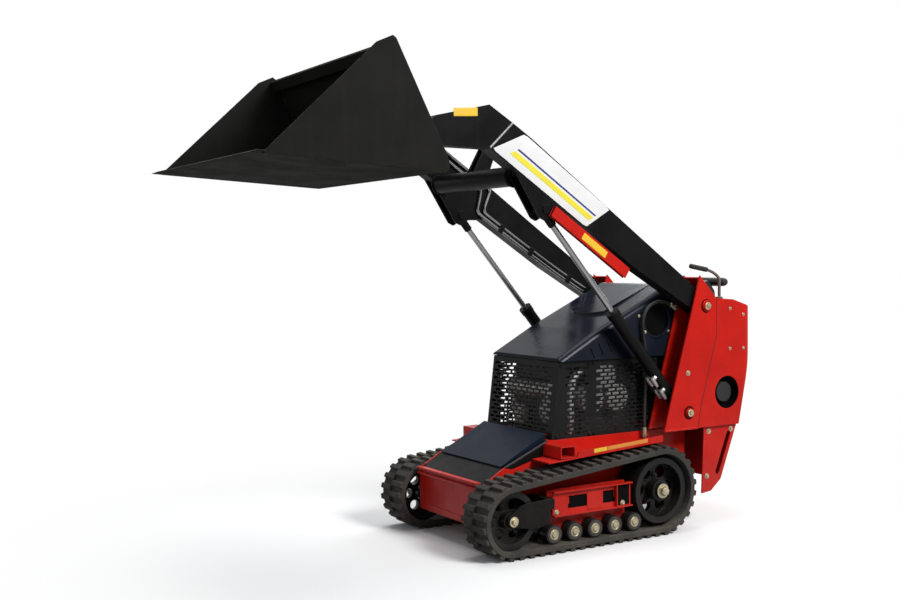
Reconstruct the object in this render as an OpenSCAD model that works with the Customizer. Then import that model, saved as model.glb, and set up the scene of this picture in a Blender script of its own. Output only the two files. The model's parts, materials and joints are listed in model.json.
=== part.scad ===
// Compact tracked tool carrier with raised lift arms and a bucket.
// Lengths in millimetres, +X forward, +Y left, +Z up.
// Inside the modules x is measured from the drive axle; place() moves the origin
// to the middle of the outline, on the ground.

/* [Tracks] */
// Distance between the drive axle and the idler axle
axle_span = 790; // [740:5:850]
// Radius of the track over its lugs at the drive wheel
drive_r = 197; // [190:1:200]
// Radius of the track over its lugs at the idler
idler_r = 157; // [150:1:165]
// Width of one track
track_w = 170; // [150:1:180]
// Gap between the frame's wall and the track
track_gap = 0.5; // [0.5:0.5:6]
// Height of the lugs
lug_h = 14; // [12:1:18]
// Thickness of the belt under the lugs
belt_t = 21; // [16:1:24]
// Distance between lugs along one edge of the track
lug_step = 52; // [46:1:60]
// Radius of the road rollers
roller_r = 40; // [34:1:42]
// Least distance between the road rollers
roller_step = 100; // [92:1:108]

/* [Frame] */
// Half width over the frame's side walls
frame_half_w = 258; // [250:1:258]
// Thickness of the frame's walls
frame_t = 8; // [6:1:10]
// Height of the belly plate above the ground
belly_z = 105; // [95:1:115]
// Height of the engine deck
deck_z = 440; // [436:1:446]
// Frame's front face ahead of the idler axle
frame_nose = 45; // [40:1:60]
// Height of the front plate
front_plate_h = 189; // [170:1:195]
// Thickness of the front plate
front_plate_t = 12; // [8:1:16]
// Thickness of the fender sheet
fender_t = 6; // [4:1:8]
// Outside height of the cross tube's ends
cross_tube_h = 51; // [44:1:51]
// Outside length of the cross tube's ends along the machine
cross_tube_l = 76; // [60:1:80]
// Wall of the cross tube
cross_tube_t = 5; // [4:0.5:8]

/* [Tower] */
// Width of a tower between the outer faces of its plates
tower_w = 102; // [100:1:106]
// Thickness of the tower plates
tower_t = 8; // [6:1:9]
// Inner tower plate outside the frame's wall
tower_step = 20; // [18:1:22]
// Height of the arm pivot
pivot_z = 1000; // [985:1:1010]
// Arm pivot behind the drive axle
pivot_x = -300; // [-304:1:-296]
// Radius of the arm pivot pin
pivot_pin_r = 19; // [15:1:22]
// Radius of the lift cylinder's pins
lift_pin_r = 14; // [12:1:16]
// Diameter of the fuel filler's opening
filler_d = 150; // [130:1:160]

/* [Lift arms] */
// Rest angle of the arms, fully raised
arm_angle = 33.5; // [32:0.1:33.5]
// Width of an arm
arm_w = 70; // [60:1:74]
// Wall of the arms
arm_t = 6; // [5:0.5:8]
// Radius of the arm's rear eye
arm_eye_r = 45; // [40:1:48]
// Bucket hinge along the arm from its pivot
hinge_u = 1622; // [1615:1:1630]
// Bucket hinge below the arm's axis
hinge_drop = 244; // [238:1:250]
// Radius of the bucket hinge pin
hinge_pin_r = 12; // [10:0.5:13]
// Radius of the arm's front eye
hinge_eye_r = 23; // [21:0.5:24]
// Radius of the crossmember tube
cross_r = 42; // [36:1:46]

/* [Cylinders] */
// Radius of the lift barrels
lift_barrel_r = 28; // [24:0.5:30]
// Length of the lift barrels from their base pin
lift_barrel_l = 612; // [600:1:620]
// Radius of the lift rods
lift_rod_r = 13; // [10:0.5:15]
// Radius of the tilt barrel
tilt_barrel_r = 30; // [26:0.5:32]
// Length of tilt rod from the barrel to its pin
tilt_rod_out = 232.6; // [230:0.1:245]
// Radius of the tilt rod
tilt_rod_r = 14; // [10:0.5:15]
// Distance from the bucket hinge to the tilt rod's pin
tilt_lever = 150; // [145:1:155]

/* [Bucket] */
// Half width of the bucket
bucket_half_w = 550; // [500:1:600]
// Rest angle of the bucket's floor
bucket_angle = 3.1; // [0:0.1:3.1]
// Height of the hinge above the bucket's underside
hinge_above = 150; // [146:1:151]
// Reach of the cutting edge in front of the hinge
edge_reach = 760; // [740:1:780]
// Top of the bucket above the hinge
bucket_top = 322; // [310:1:330]
// Thickness of the bucket's plates
bucket_t = 6; // [5:0.5:8]
// Thickness of the cutting edge
edge_t = 13; // [10:0.5:16]

/* [Engine and hood] */
// Hood beyond the frame's walls on each side
hood_over = 5; // [0:1:6]
// Thickness of the hood
hood_t = 4; // [3:0.5:6]
// Height of the hood's lower edge
hood_low_z = 774; // [772:1:780]
// Height of the hood's hinge
hood_hinge_z = 1088; // [1084:1:1090]
// Thickness of the screens
screen_t = 3; // [2:0.5:4]

/* [Hidden] */
$fn = 64;
play = 0.05;
seat = 0.3;

// Faces on one body that meet on a slope lie this far apart
touch = 0.02;

// Widths, from the frame's walls outwards
tower_inner_y = frame_half_w + tower_step;
tower_half_w = tower_inner_y + tower_w;
arm_y = (tower_inner_y + tower_half_w - tower_t) / 2;
hood_half_w = frame_half_w + hood_over;
frame_front = axle_span + frame_nose;

// Track places
track_in = frame_half_w + track_gap;
track_out = track_in + track_w;
track_mid = (track_out + track_in) / 2;
wrap_t = lug_h + belt_t;
track_lean = atan2(idler_r - drive_r, axle_span);
track_up = 90 + 2 * track_lean;
roller_z = wrap_t + seat + roller_r;
roller_first = 146;
roller_last = axle_span - 212;
roller_count = floor((roller_last - roller_first) / roller_step) + 1;
roller_pitch = (roller_last - roller_first) / (roller_count - 1);

// Arm places
function arm_pt(u, v) = [
    pivot_x + u * cos(arm_angle) - v * sin(arm_angle),
    pivot_z + u * sin(arm_angle) + v * cos(arm_angle)];
hinge = arm_pt(hinge_u, -hinge_drop);
rod_eye_u = 968;
rod_eye_v = -134;
cross_back = 482;
cross_u = hinge_u - cross_back;
cross_v = -84;
tilt_base_u = cross_u + 25;
tilt_base_v = 93;
seam_u = [hinge_u - 324, hinge_u - 289];
seam_v = [62, -90];

// Cylinder places
lift_base = [-195, 522];
lift_eye = arm_pt(rod_eye_u, rod_eye_v);
lift_len = norm(lift_eye - lift_base);
lift_ang = atan2(lift_eye[1] - lift_base[1], lift_eye[0] - lift_base[0]);
lift_eye_r = 28;
lift_eye_w = 40;
tilt_base = arm_pt(tilt_base_u, tilt_base_v);
tilt_lever_ang = 79;
tilt_eye = hinge + tilt_lever * [cos(tilt_lever_ang), sin(tilt_lever_ang)];
tilt_len = norm(tilt_eye - tilt_base);
tilt_ang = atan2(tilt_eye[1] - tilt_base[1], tilt_eye[0] - tilt_base[0]);
tilt_barrel_l = tilt_len - tilt_rod_out;
tilt_eye_w = 34;
tilt_pin_r = 12;
tilt_ear_t = 10;
tilt_ear_y = tilt_eye_w / 2 + 2;

// Outline of the whole machine along x
front_x = hinge[0] + edge_reach * cos(bucket_angle) + hinge_above * sin(bucket_angle);
rear_x = -592;
pad_t = 28;
mid_x = (front_x + rear_x - pad_t) / 2;

red = "firebrick";
black = [0.10, 0.10, 0.11];
charcoal = [0.18, 0.18, 0.17];
rubber = [0.27, 0.26, 0.24];
zinc = [0.72, 0.66, 0.42];
chrome = [0.85, 0.86, 0.88];

// Moves a piece from the drive axle's frame to the machine's own frame
module place() translate([-mid_x, 0, 0]) children();

// Draws the left piece, or its mirror image on the right
module on_side(side) {
    if (side > 0) children();
    else mirror([0, 1, 0]) children();
}

// Side outline in x and z, as a plate from y to y + t
module plate(y, t) translate([0, y + t, 0]) rotate([90, 0, 0]) linear_extrude(t) children();

// Round bar along y from y0 to y1
module bar_y(x, z, y0, y1, r) translate([x, y0, z]) rotate([-90, 0, 0]) cylinder(h = y1 - y0, r = r);

// Round bar between two points
module bar(p, q, r) {
    d = q - p;
    translate(p) rotate([0, acos(d[2] / norm(d)), atan2(d[1], d[0])]) cylinder(h = norm(d), r = r);
}

// Frame along the arm: x from the pivot to the front, z square to it
module arm_frame() translate([pivot_x, 0, pivot_z]) rotate([0, -arm_angle, 0]) children();

// Frame of the bucket: its origin on the hinge, x along the bucket's floor
module bucket_frame() translate([hinge[0], 0, hinge[1]]) rotate([0, -bucket_angle, 0]) children();

// Frame along a cylinder from its base pin
module lift_frame() translate([lift_base[0], arm_y, lift_base[1]]) rotate([0, -lift_ang, 0]) children();
module tilt_frame() translate([tilt_base[0], 0, tilt_base[1]]) rotate([0, -tilt_ang, 0]) children();

// Outline of the track loop, set in from the lugs' tips
module loop_outline(inset) {
    up = [cos(track_up), sin(track_up)];
    a = [0, drive_r];
    b = [axle_span, idler_r];
    translate(a) circle(drive_r - inset);
    translate(b) circle(idler_r - inset);
    polygon([[0, inset], [axle_span, inset], b + (idler_r - inset) * up, a + (drive_r - inset) * up]);
}

// The loop's four stretches: lower run, idler wrap, upper run, drive wrap
idler_arc = idler_r * (90 + track_up) * PI / 180;
drive_arc = drive_r * (270 - track_up) * PI / 180;
upper_run = axle_span;
loop_len = axle_span + idler_arc + upper_run + drive_arc;
lug_count = 4 * round(loop_len / lug_step / 4);
lug_pitch = loop_len / lug_count;

// Puts a piece on the loop, a distance along it from the drive axle's foot, x along the belt and z inwards
module on_loop(along) {
    s = along % loop_len;
    if (s < axle_span) translate([s, 0, 0]) children();
    else if (s < axle_span + idler_arc)
        translate([axle_span, 0, idler_r]) rotate([0, -(s - axle_span) / idler_r * 180 / PI, 0])
            translate([0, 0, tip_drop - idler_r]) children();
    else if (s < axle_span + idler_arc + upper_run)
        translate([axle_span, 0, idler_r]) rotate([0, -90 - track_up, 0])
            translate([s - axle_span - idler_arc, 0, -idler_r]) children();
    else
        translate([0, 0, drive_r]) rotate([0, -90 - track_up - (s - axle_span - idler_arc - upper_run) / drive_r * 180 / PI, 0])
            translate([0, 0, tip_drop - drive_r]) children();
}

lug_tip = 21;
lug_foot = 29;
lug_reach = 0.49;
lug_shift = 0.5;
lug_sink = 3;
lug_side = 2;
tip_drop = 0.5;
drive_lug_h = 17;
drive_lug_l = 32;
drive_lug_w = 15;
module lug() polygon([[-lug_tip / 2, 0], [lug_tip / 2, 0], [lug_foot / 2, lug_h + lug_sink], [-lug_foot / 2, lug_h + lug_sink]]);
module drive_lug() polygon([[-drive_lug_l / 2, wrap_t - lug_sink], [drive_lug_l / 2, wrap_t - lug_sink],
    [drive_lug_l / 3, wrap_t + drive_lug_h], [-drive_lug_l / 3, wrap_t + drive_lug_h]]);
module track() color(rubber) {
    plate(track_in, track_w) difference() {
        loop_outline(lug_h);
        loop_outline(wrap_t);
    }
    for (i = [0 : lug_count - 1]) {
        on_loop(axle_span / 2 + i * lug_pitch) {
            plate(track_out - lug_reach * track_w, lug_reach * track_w - lug_side) lug();
            if (i % 4 == 0) plate(track_mid - drive_lug_w / 2, drive_lug_w) drive_lug();
        }
        on_loop(axle_span / 2 + (i + lug_shift) * lug_pitch)
            plate(track_in + lug_side, lug_reach * track_w - lug_side) lug();
    }
}

wheel_side = 20;
wheel_in = track_in + wheel_side;
wheel_out = track_out - wheel_side;

// Wheel inside the track: rim, dished web with holes, hub
module wheel(x, z, r, hub_r, y0, y1) difference() {
    rim = 26;
    web_t = 24;
    bar_y(x, z, y0, y1, r);
    for (y = [[y0 - 1, track_mid - web_t / 2], [track_mid + web_t / 2, y1 + 1]])
        difference() {
            bar_y(x, z, y[0], y[1], r - rim);
            bar_y(x, z, y[0] - 1, y[1] + 1, hub_r);
        }
    for (i = [0 : 5])
        translate([x, 0, z]) rotate([0, 60 * i, 0])
            bar_y((r - rim + hub_r) / 2, 0, y0, y1, (r - rim - hub_r) / 2 - 8);
}

hub_r = 46;
drive_wheel_r = drive_r - wrap_t - drive_lug_h - 1;
nut_r = 24;
nut_t = 14;
axle_r = 30;
module drive_wheel() color(black) {
    wheel(0, drive_r, drive_wheel_r, hub_r, wheel_in, wheel_out);
    bar_y(0, drive_r, wheel_out, wheel_out + nut_t, nut_r);
    bar_y(0, drive_r, frame_half_w, wheel_in, axle_r);
}

idler_axle_r = 16;
idler_in = track_in + 34;
idler_out = track_out - 34;
groove_w = drive_lug_w + 7;
fork_t = 8;
fork_gap = 4;
module idler() color(black) {
    difference() {
        wheel(axle_span, idler_r, idler_r - wrap_t - seat, 36, idler_in, idler_out);
        bar_y(axle_span, idler_r, idler_in - 1, idler_out + 1, idler_axle_r + play);
        // groove for the drive lugs
        difference() {
            bar_y(axle_span, idler_r, track_mid - groove_w / 2, track_mid + groove_w / 2, idler_r);
            bar_y(axle_span, idler_r, track_mid - groove_w, track_mid + groove_w, idler_r - wrap_t - drive_lug_h - 3);
        }
    }
}

guide_x = [160, axle_span - 210];
guide_z = [148, 252];
fork_depth = 44;
fork_nose = 27;
fork_lap = 10;
fork_back = guide_x[1] + 32;
fork_back_z = 205;
module idler_fork() color(black) {
    for (y = [idler_in - fork_gap - fork_t, idler_out + fork_gap])
        plate(y, fork_t) {
            translate([axle_span, idler_r]) circle(fork_nose);
            polygon([for (p = [[4, -26], [fork_back - axle_span + 60, -44], [fork_back - axle_span - fork_lap, -30],
                [fork_back - axle_span - fork_lap, 72], [-70, 66], [-38, 58], [18, 18]]) [axle_span, idler_r] + p]);
        }
    bar_y(axle_span, idler_r, idler_in - fork_gap - fork_t - 6, idler_out + fork_gap + fork_t + 8, idler_axle_r);
    block_l = fork_back - guide_x[1];
    translate([guide_x[1], idler_in - fork_gap - fork_t, fork_back_z - fork_depth / 2])
        cube([block_l, idler_out - idler_in + 2 * (fork_gap + fork_t), fork_depth]);
}

roller_axle_r = 10;
carrier_t = 16;
roller_w = 48;
module rollers() color(zinc) for (i = [0 : roller_count - 1]) {
    x = roller_first + i * roller_pitch;
    bar_y(x, roller_z, track_mid - carrier_t / 2 - roller_w - 8, track_mid + carrier_t / 2 + roller_w + 8, roller_axle_r);
    for (y = [track_mid - carrier_t / 2 - roller_w - 2, track_mid + carrier_t / 2 + 2])
        bar_y(x, roller_z, y, y + roller_w, roller_r);
}

guide_web_y = track_out - 42.5;
guide_t = 6;
guide_flange = 22;
window_l = 120;
window_h = 52;
carrier_end = 20;
carrier_low = 18;
module track_guide() color(red) {
    length = guide_x[1] - guide_x[0];
    height = guide_z[1] - guide_z[0];
    // outer channel with two windows
    difference() {
        plate(guide_web_y, guide_flange) translate([guide_x[0], guide_z[0]]) square([length, height]);
        plate(guide_web_y + guide_t, guide_flange) translate([guide_x[0] - 1, guide_z[0] + guide_t])
            square([length + 2, height - 2 * guide_t]);
        for (i = [1, 2])
            plate(guide_web_y - 1, guide_t + 2)
                translate([guide_x[0] + i * length / 3 - window_l / 2, (guide_z[0] + guide_z[1] - window_h) / 2])
                square([window_l, window_h]);
    }
    // roller carrier hung from the rail
    difference() {
        plate(track_mid - carrier_t / 2, carrier_t)
            polygon([[roller_first - carrier_end, roller_z - carrier_low], [roller_last + carrier_end, roller_z - carrier_low],
                [roller_last + carrier_end, roller_z + carrier_low], [guide_x[1] - seat, roller_z + 2 * carrier_low],
                [guide_x[1] - seat, guide_z[1]], [guide_x[0], guide_z[1]], [guide_x[0], roller_z + 2 * carrier_low],
                [roller_first - carrier_end, roller_z + carrier_low]]);
        for (i = [0 : roller_count - 1])
            bar_y(roller_first + i * roller_pitch, roller_z, track_in, track_out, roller_axle_r + play);
    }
    // stays from the frame wall to the rail
    stay_h = 40;
    for (x = [guide_x[0] + 30, guide_x[1] - 90])
        translate([x, frame_half_w, guide_z[1] - stay_h - 20]) cube([60, guide_web_y - frame_half_w, stay_h]);
}

// Main frame: side walls, belly plate, deck and rear wall
step_top = [500, 466];
step_low = [frame_front - 103, 345];
frame_rear = -282;
module wall_outline() polygon([[frame_rear, belly_z], [frame_front, belly_z],
    [frame_front, belly_z + front_plate_h - 8], step_low, [step_top[0], deck_z], [frame_rear, deck_z]]);
module chassis_frame() color(red) {
    for (s = [1, -1]) on_side(s) plate(frame_half_w - frame_t, frame_t) wall_outline();
    w = frame_half_w - frame_t;
    translate([frame_rear, -w, belly_z]) cube([frame_front - frame_rear, 2 * w, frame_t]);
    translate([frame_rear, -w, belly_z + frame_t]) cube([frame_t, 2 * w, deck_z - belly_z - frame_t]);
    translate([frame_rear + frame_t, -w, deck_z - frame_t]) cube([step_top[0] - frame_rear - frame_t, 2 * w, frame_t]);
}

plate_half_w = frame_half_w - 18;
panel_in = 28;
panel_deep = 4;
flange_t = 10;
flange_out = 14;
module front_plate() color(red) {
    difference() {
        translate([frame_front, -plate_half_w, belly_z]) cube([front_plate_t, 2 * plate_half_w, front_plate_h]);
        translate([frame_front + front_plate_t - panel_deep, panel_in - plate_half_w, belly_z + panel_in])
            cube([front_plate_t, 2 * (plate_half_w - panel_in), front_plate_h - 2 * panel_in]);
    }
    for (i = [0, 1])
        translate([frame_front + front_plate_t, -plate_half_w, belly_z + front_plate_h - flange_t - 22 * i])
            cube([flange_out, 2 * plate_half_w, flange_t]);
}

step_half_w = frame_half_w - 22;
step_t = 5;
module step_cover() color(black) {
    d = step_low - step_top;
    n = [-d[1], d[0]] / norm(d);
    plate(-step_half_w, 2 * step_half_w)
        polygon([step_top, step_low, step_low + step_t * n, step_top + step_t * n]);
    for (s = [1, -1]) on_side(s) plate(step_half_w - step_t, step_t)
        polygon([step_top, [step_top[0], deck_z], [step_top[0] + 6, deck_z - 3], step_low]);
}

cross_tube_x = 450;
function fender_z(x) = 404 - (x - fender_x[0]) * 38 / (fender_x[1] - fender_x[0]);
fender_x = [-40, 589];
cross_tube_z = fender_z(cross_tube_x) + fender_t + seat;
module cross_tube() color(red) for (s = [1, -1]) on_side(s) difference() {
    translate([cross_tube_x, frame_half_w, cross_tube_z])
        cube([cross_tube_l, tower_half_w - frame_half_w, cross_tube_h]);
    translate([cross_tube_x + cross_tube_t, frame_half_w - 1, cross_tube_z + cross_tube_t])
        cube([cross_tube_l - 2 * cross_tube_t, tower_half_w, cross_tube_h - 2 * cross_tube_t]);
}

fender_lip = 24;
module fender() color(red) {
    a = [fender_x[0], fender_z(fender_x[0])];
    b = [fender_x[1], fender_z(fender_x[1])];
    up = [0, fender_t];
    plate(frame_half_w, tower_half_w - frame_half_w) polygon([a, b, b + up, a + up]);
    lip_end = [cross_tube_x - 10, fender_z(cross_tube_x - 10)];
    plate(tower_half_w - fender_t, fender_t)
        polygon([a, lip_end, lip_end + up + [-8, fender_lip], a + up + [0, fender_lip]]);
}

// Tower side plates, with the arm and the lift cylinder between them
tower_front_low = [-46, 441];
tower_front_top = [-263, 1138];
tower_rear_top = [-364, 1034];
seam_mid = [-364, 861];
seam_low = [-265, 533];
tower_rear_low = [-250, 448];
module tower_outline() polygon([tower_front_low, tower_front_top, tower_rear_top, seam_mid, seam_low,
    tower_rear_low, [tower_front_low[0] - 4, tower_rear_low[1]]]);

// Strip along the tower's sloped upper edge that ties its two plates together
tower_cap_t = 6;
module tower_cap() {
    d = (tower_rear_top - tower_front_top) / norm(tower_rear_top - tower_front_top);
    n = [-d[1], d[0]];
    a = tower_front_top + 1.5 * tower_cap_t * d + n;
    b = tower_rear_top - 1.5 * tower_cap_t * d + n;
    polygon([a, b, b + tower_cap_t * n, a + tower_cap_t * n]);
}

module tower() color(red) difference() {
    union() {
        plate(tower_half_w - tower_t, tower_t) tower_outline();
        plate(tower_inner_y - tower_t, tower_t) tower_outline();
        plate(tower_inner_y - tower_t / 2, tower_half_w - tower_inner_y) tower_cap();
    }
    bar_y(pivot_x, pivot_z, 0, tower_half_w + 1, pivot_pin_r);
    bar_y(lift_base[0], lift_base[1], 0, tower_half_w + 1, lift_pin_r);
}

pin_head = 6;
module tower_pins() color(red) for (s = [1, -1]) on_side(s) {
    for (p = [[pivot_x, pivot_z, pivot_pin_r], [lift_base[0], lift_base[1], lift_pin_r]]) {
        bar_y(p[0], p[1], tower_inner_y - tower_t - 4, tower_half_w, p[2]);
        bar_y(p[0], p[1], tower_half_w, tower_half_w + pin_head, p[2] + 7);
        bar_y(p[0], p[1], tower_half_w + pin_head - 1, tower_half_w + 2 * pin_head, p[2] + 3);
    }
}

// Cross wall between the towers, with the hood's hinge ears
bulk_x = -236;
bulk_t = 6;
hood_hinge_x = bulk_x + bulk_t + 12;
hinge_y = 170;
knuckle_w = 40;
hood_pin_r = 6;
hood_knuckle_r = 11;
module bulkhead() color(black) {
    w = tower_inner_y - tower_t;
    translate([bulk_x, -w, deck_z]) cube([bulk_t, 2 * w, hood_hinge_z - deck_z]);
    for (s = [1, -1]) on_side(s) {
        for (y = [hinge_y - knuckle_w / 2 - 10, hinge_y + knuckle_w / 2 + 2])
            plate(y, 8) {
                translate([hood_hinge_x, hood_hinge_z]) circle(hood_knuckle_r);
                polygon([[bulk_x, hood_hinge_z - 30], [hood_hinge_x, hood_hinge_z - hood_knuckle_r],
                    [hood_hinge_x, hood_hinge_z + hood_knuckle_r], [bulk_x, hood_hinge_z]]);
            }
        bar_y(hood_hinge_x, hood_hinge_z, hinge_y - knuckle_w / 2 - 10, hinge_y + knuckle_w / 2 + 10, hood_pin_r);
    }
}

// Rear body: a hollow shell behind the towers
body_t = 4;
body_round = 45;
rear_top = [-588, 989];
rear_mid = [rear_x, 842];
rear_low = [-506, 448];
top_mid = [-469, 1026];
filler = [-431, 600];
module body_outline() polygon([tower_rear_top, top_mid, rear_top, rear_mid, rear_low, tower_rear_low,
    seam_low, seam_mid]);
module body_inside() polygon([tower_rear_top + [1, -body_t], top_mid + [1, -body_t], rear_top + [body_t, -4],
    rear_mid + [body_t, 0], rear_low + [body_t, body_t], tower_rear_low + [1, body_t], seam_low + [1, 0],
    seam_mid + [1, 0]]);
// plan of the body with rounded rear corners
module body_plan(w, x, r) {
    translate([x + r, -w]) square([tower_front_low[0] - x - r, 2 * w]);
    translate([x, r - w]) square([r, 2 * (w - r)]);
    for (s = [1, -1]) translate([x + r, s * (w - r)]) circle(r);
}
module rear_body() color(red) difference() {
    intersection() {
        plate(-tower_half_w, 2 * tower_half_w) body_outline();
        linear_extrude(tower_front_top[1]) body_plan(tower_half_w, rear_x, body_round);
    }
    intersection() {
        plate(-tower_half_w, 2 * tower_half_w) body_inside();
        linear_extrude(tower_front_top[1]) body_plan(tower_half_w - body_t, rear_x + body_t, body_round - body_t);
    }
    bar_y(filler[0], filler[1], tower_half_w - 20, tower_half_w + 1, filler_d / 2);
}

// Fuel tank inside the left of the body, with its filler neck and cap
tank_out = tower_half_w - 50;
tank_in = 60;
tank_foot = [-490, -300];
tank_x = [-500, -350];
tank_foot_h = 60;
tank_h = 200;
cap_r = 46;
module fuel_tank() color(black) {
    foot_z = rear_low[1] + body_t;
    translate([tank_foot[0], tank_in, foot_z]) cube([tank_foot[1] - tank_foot[0], tank_out - tank_in, tank_foot_h]);
    translate([tank_x[0], tank_in, foot_z + tank_foot_h]) cube([tank_x[1] - tank_x[0], tank_out - tank_in, tank_h]);
    bar_y(filler[0], filler[1], tank_out, tank_out + 12, cap_r - 8);
    bar_y(filler[0], filler[1], tank_out + 12, tank_out + 30, cap_r);
}

// Lower rear guard: two slotted side sheets and the sheet between them
guard_out = tower_half_w - 15;
guard_t = 5;
guard_low = [-406, 200];
guard_front = [-287, 144];
guard_slot = [[-455, 405], [-385, 235]];
guard_slot_r = 12;
module guard_outline() difference() {
    polygon([[-300, rear_low[1]], rear_low, guard_low, [-345, 150], guard_front]);
    d = (guard_slot[1] - guard_slot[0]) / norm(guard_slot[1] - guard_slot[0]);
    n = [-d[1], d[0]] * guard_slot_r;
    for (p = guard_slot) translate(p) circle(guard_slot_r);
    polygon([guard_slot[0] + n, guard_slot[1] + n, guard_slot[1] - n, guard_slot[0] - n]);
}
module rear_guard() color(red) {
    for (s = [1, -1]) on_side(s) plate(guard_out - guard_t, guard_t) guard_outline();
    w = guard_out - guard_t;
    plate(-w, 2 * w) polygon([rear_low, guard_low, guard_low + [guard_t, 0], rear_low + [guard_t, 0]]);
}

// Operator's console on the sloped top of the body
function top_z(x) = x > top_mid[0]
    ? top_mid[1] + (x - top_mid[0]) * (tower_rear_top[1] - top_mid[1]) / (tower_rear_top[0] - top_mid[0])
    : top_mid[1] + (x - top_mid[0]) * (rear_top[1] - top_mid[1]) / (rear_top[0] - top_mid[0]);
console_rear = rear_top[0] + 20;
console_top = [-520, 1112];
console_half_w = 170;
module console_outline() polygon([top_mid + [0, touch], [console_rear, top_z(console_rear) + touch],
    [console_rear + 8, rear_top[1] + 70], console_top, [top_mid[0] - 13, console_top[1] - 20]]);
hand_bar = [console_rear - 14, console_top[1] - 6];
hand_bar_r = 11;
hand_bar_y = 150;
module control_console() color(black) {
    plate(-console_half_w, 2 * console_half_w) console_outline();
    // hand bar behind the console, on two posts
    bar_y(hand_bar[0], hand_bar[1], -hand_bar_y, hand_bar_y, hand_bar_r);
    for (k = [1, -1]) bar([hand_bar[0], k * (hand_bar_y - 30), hand_bar[1]], [console_top[0] - 20, k * (hand_bar_y - 30), hand_bar[1] - 45], hand_bar_r - 3);
}

lever_y = tower_half_w - 80;
lever_base = [top_mid[0] + 3, top_mid[0] + 35];
lever_base_w = 36;
lever_base_h = 9;
lever_r = 8;
grip_r = 15;
joint_bulge = 0.8;
lever_foot = [-456, lever_y, 1032];
lever_bend = [-449, lever_y, 1130];
lever_knee = [-410, lever_y, 1163];
grip_start = [-380, lever_y, 1166];
grip_end = [-278, lever_y, 1172];
module control_lever() color(black) {
    plate(lever_y - lever_base_w / 2, lever_base_w) polygon([for (p = [[0, 0], [1, 0], [1, 1], [0, 1]])
        [lever_base[p[0]], top_z(lever_base[p[0]]) + touch + lever_base_h * p[1]]]);
    bar(lever_foot, lever_bend, lever_r);
    translate(lever_bend) sphere(lever_r + joint_bulge);
    bar(lever_bend, lever_knee, lever_r);
    translate(lever_knee) sphere(lever_r + joint_bulge);
    bar(lever_knee, grip_start, lever_r);
    bar(grip_start, grip_end, grip_r);
}

pad_half_w = 180;
pad_z = [850, 960];
function rear_face(z) = rear_mid[0] + (z - rear_mid[1]) * (rear_top[0] - rear_mid[0]) / (rear_top[1] - rear_mid[1]);
module thigh_pad() color(black) plate(-pad_half_w, 2 * pad_half_w)
    polygon([[rear_face(pad_z[0]) - touch, pad_z[0]], [rear_face(pad_z[1]) - touch, pad_z[1]],
        [rear_x - pad_t, pad_z[1]], [rear_x - pad_t, pad_z[0]]]);

// Engine as one plain block under the hood
engine_x = [-60, 360];
engine_half_w = 180;
engine_h = 300;
module engine_block() color(black)
    translate([engine_x[0], -engine_half_w, deck_z]) cube([engine_x[1] - engine_x[0], 2 * engine_half_w, engine_h]);

// Screens round the engine, standing on the deck
screen_y = frame_half_w - frame_t;
screen_front = 474;
screen_lean = 42;
screen_split = 258;
screen_rear = -120;
screen_top = hood_low_z - 3;
slot_l = 36;
slot_h = 10;
slot_step = 46;
slot_rise = 17.5;
screen_rim = 16;
// Rows of slots in a panel, every other row shifted by half a step
module slot_rows(from, to) {
    for (j = [0 : floor((screen_top - deck_z - 2 * screen_rim - slot_h) / slot_rise)]) {
        start = from + screen_rim + j % 2 * slot_step / 2;
        for (i = [0 : floor((to - screen_rim - slot_l - start) / slot_step)])
            translate([start + i * slot_step, deck_z + screen_rim + j * slot_rise]) square([slot_l, slot_h]);
    }
}
module front_screen() color(black) difference() {
    plate(-screen_y, 2 * screen_y)
        polygon([[screen_front, deck_z], [screen_front + screen_t, deck_z], [screen_front + screen_t - screen_lean, screen_top],
            [screen_front - screen_lean, screen_top]]);
    translate([screen_front - 2 * screen_lean, 0, 0]) rotate([90, 0, 90]) linear_extrude(3 * screen_lean)
        slot_rows(-screen_y, screen_y);
}
module side_screen() color(black) plate(screen_y - screen_t, screen_t) {
    difference() {
        polygon([[screen_rear, deck_z], [screen_split - seat, deck_z], [screen_split - seat, screen_top],
            [screen_rear, screen_top]]);
        slot_rows(screen_rear, screen_split);
    }
    difference() {
        polygon([[screen_split, deck_z], [screen_front, deck_z], [screen_front - screen_lean, screen_top],
            [screen_split, screen_top]]);
        slot_rows(screen_split, screen_front - screen_lean);
    }
}

// Hood: a sloped shell, hinged at its rear edge
hood_front = [screen_front - screen_lean + screen_t + 2, hood_low_z];
hood_brow = [227, 901];
hood_back = [hood_hinge_x + hood_knuckle_r + 7, 1100];
hood_lip = 14;
hood_round = 30;
hood_turn = 18;
hood_reach = 1000;
hood_rear_h = 60;
louvre_w = 11;
louvre_top = [[282, 826, 44], [238, 848, 54], [194, 868, 62]];
air = [-108, 937];
air_r = 72;
air_flange = 10;
air_duct = 24;
scoop_front = 113;
scoop_half_w = 125;
scoop_r = 293;
scoop_h = 14;
function hood_slope_z(x) = hood_brow[1] + (x - hood_brow[0]) * (hood_back[1] - hood_brow[1]) / (hood_back[0] - hood_brow[0]);

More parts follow.
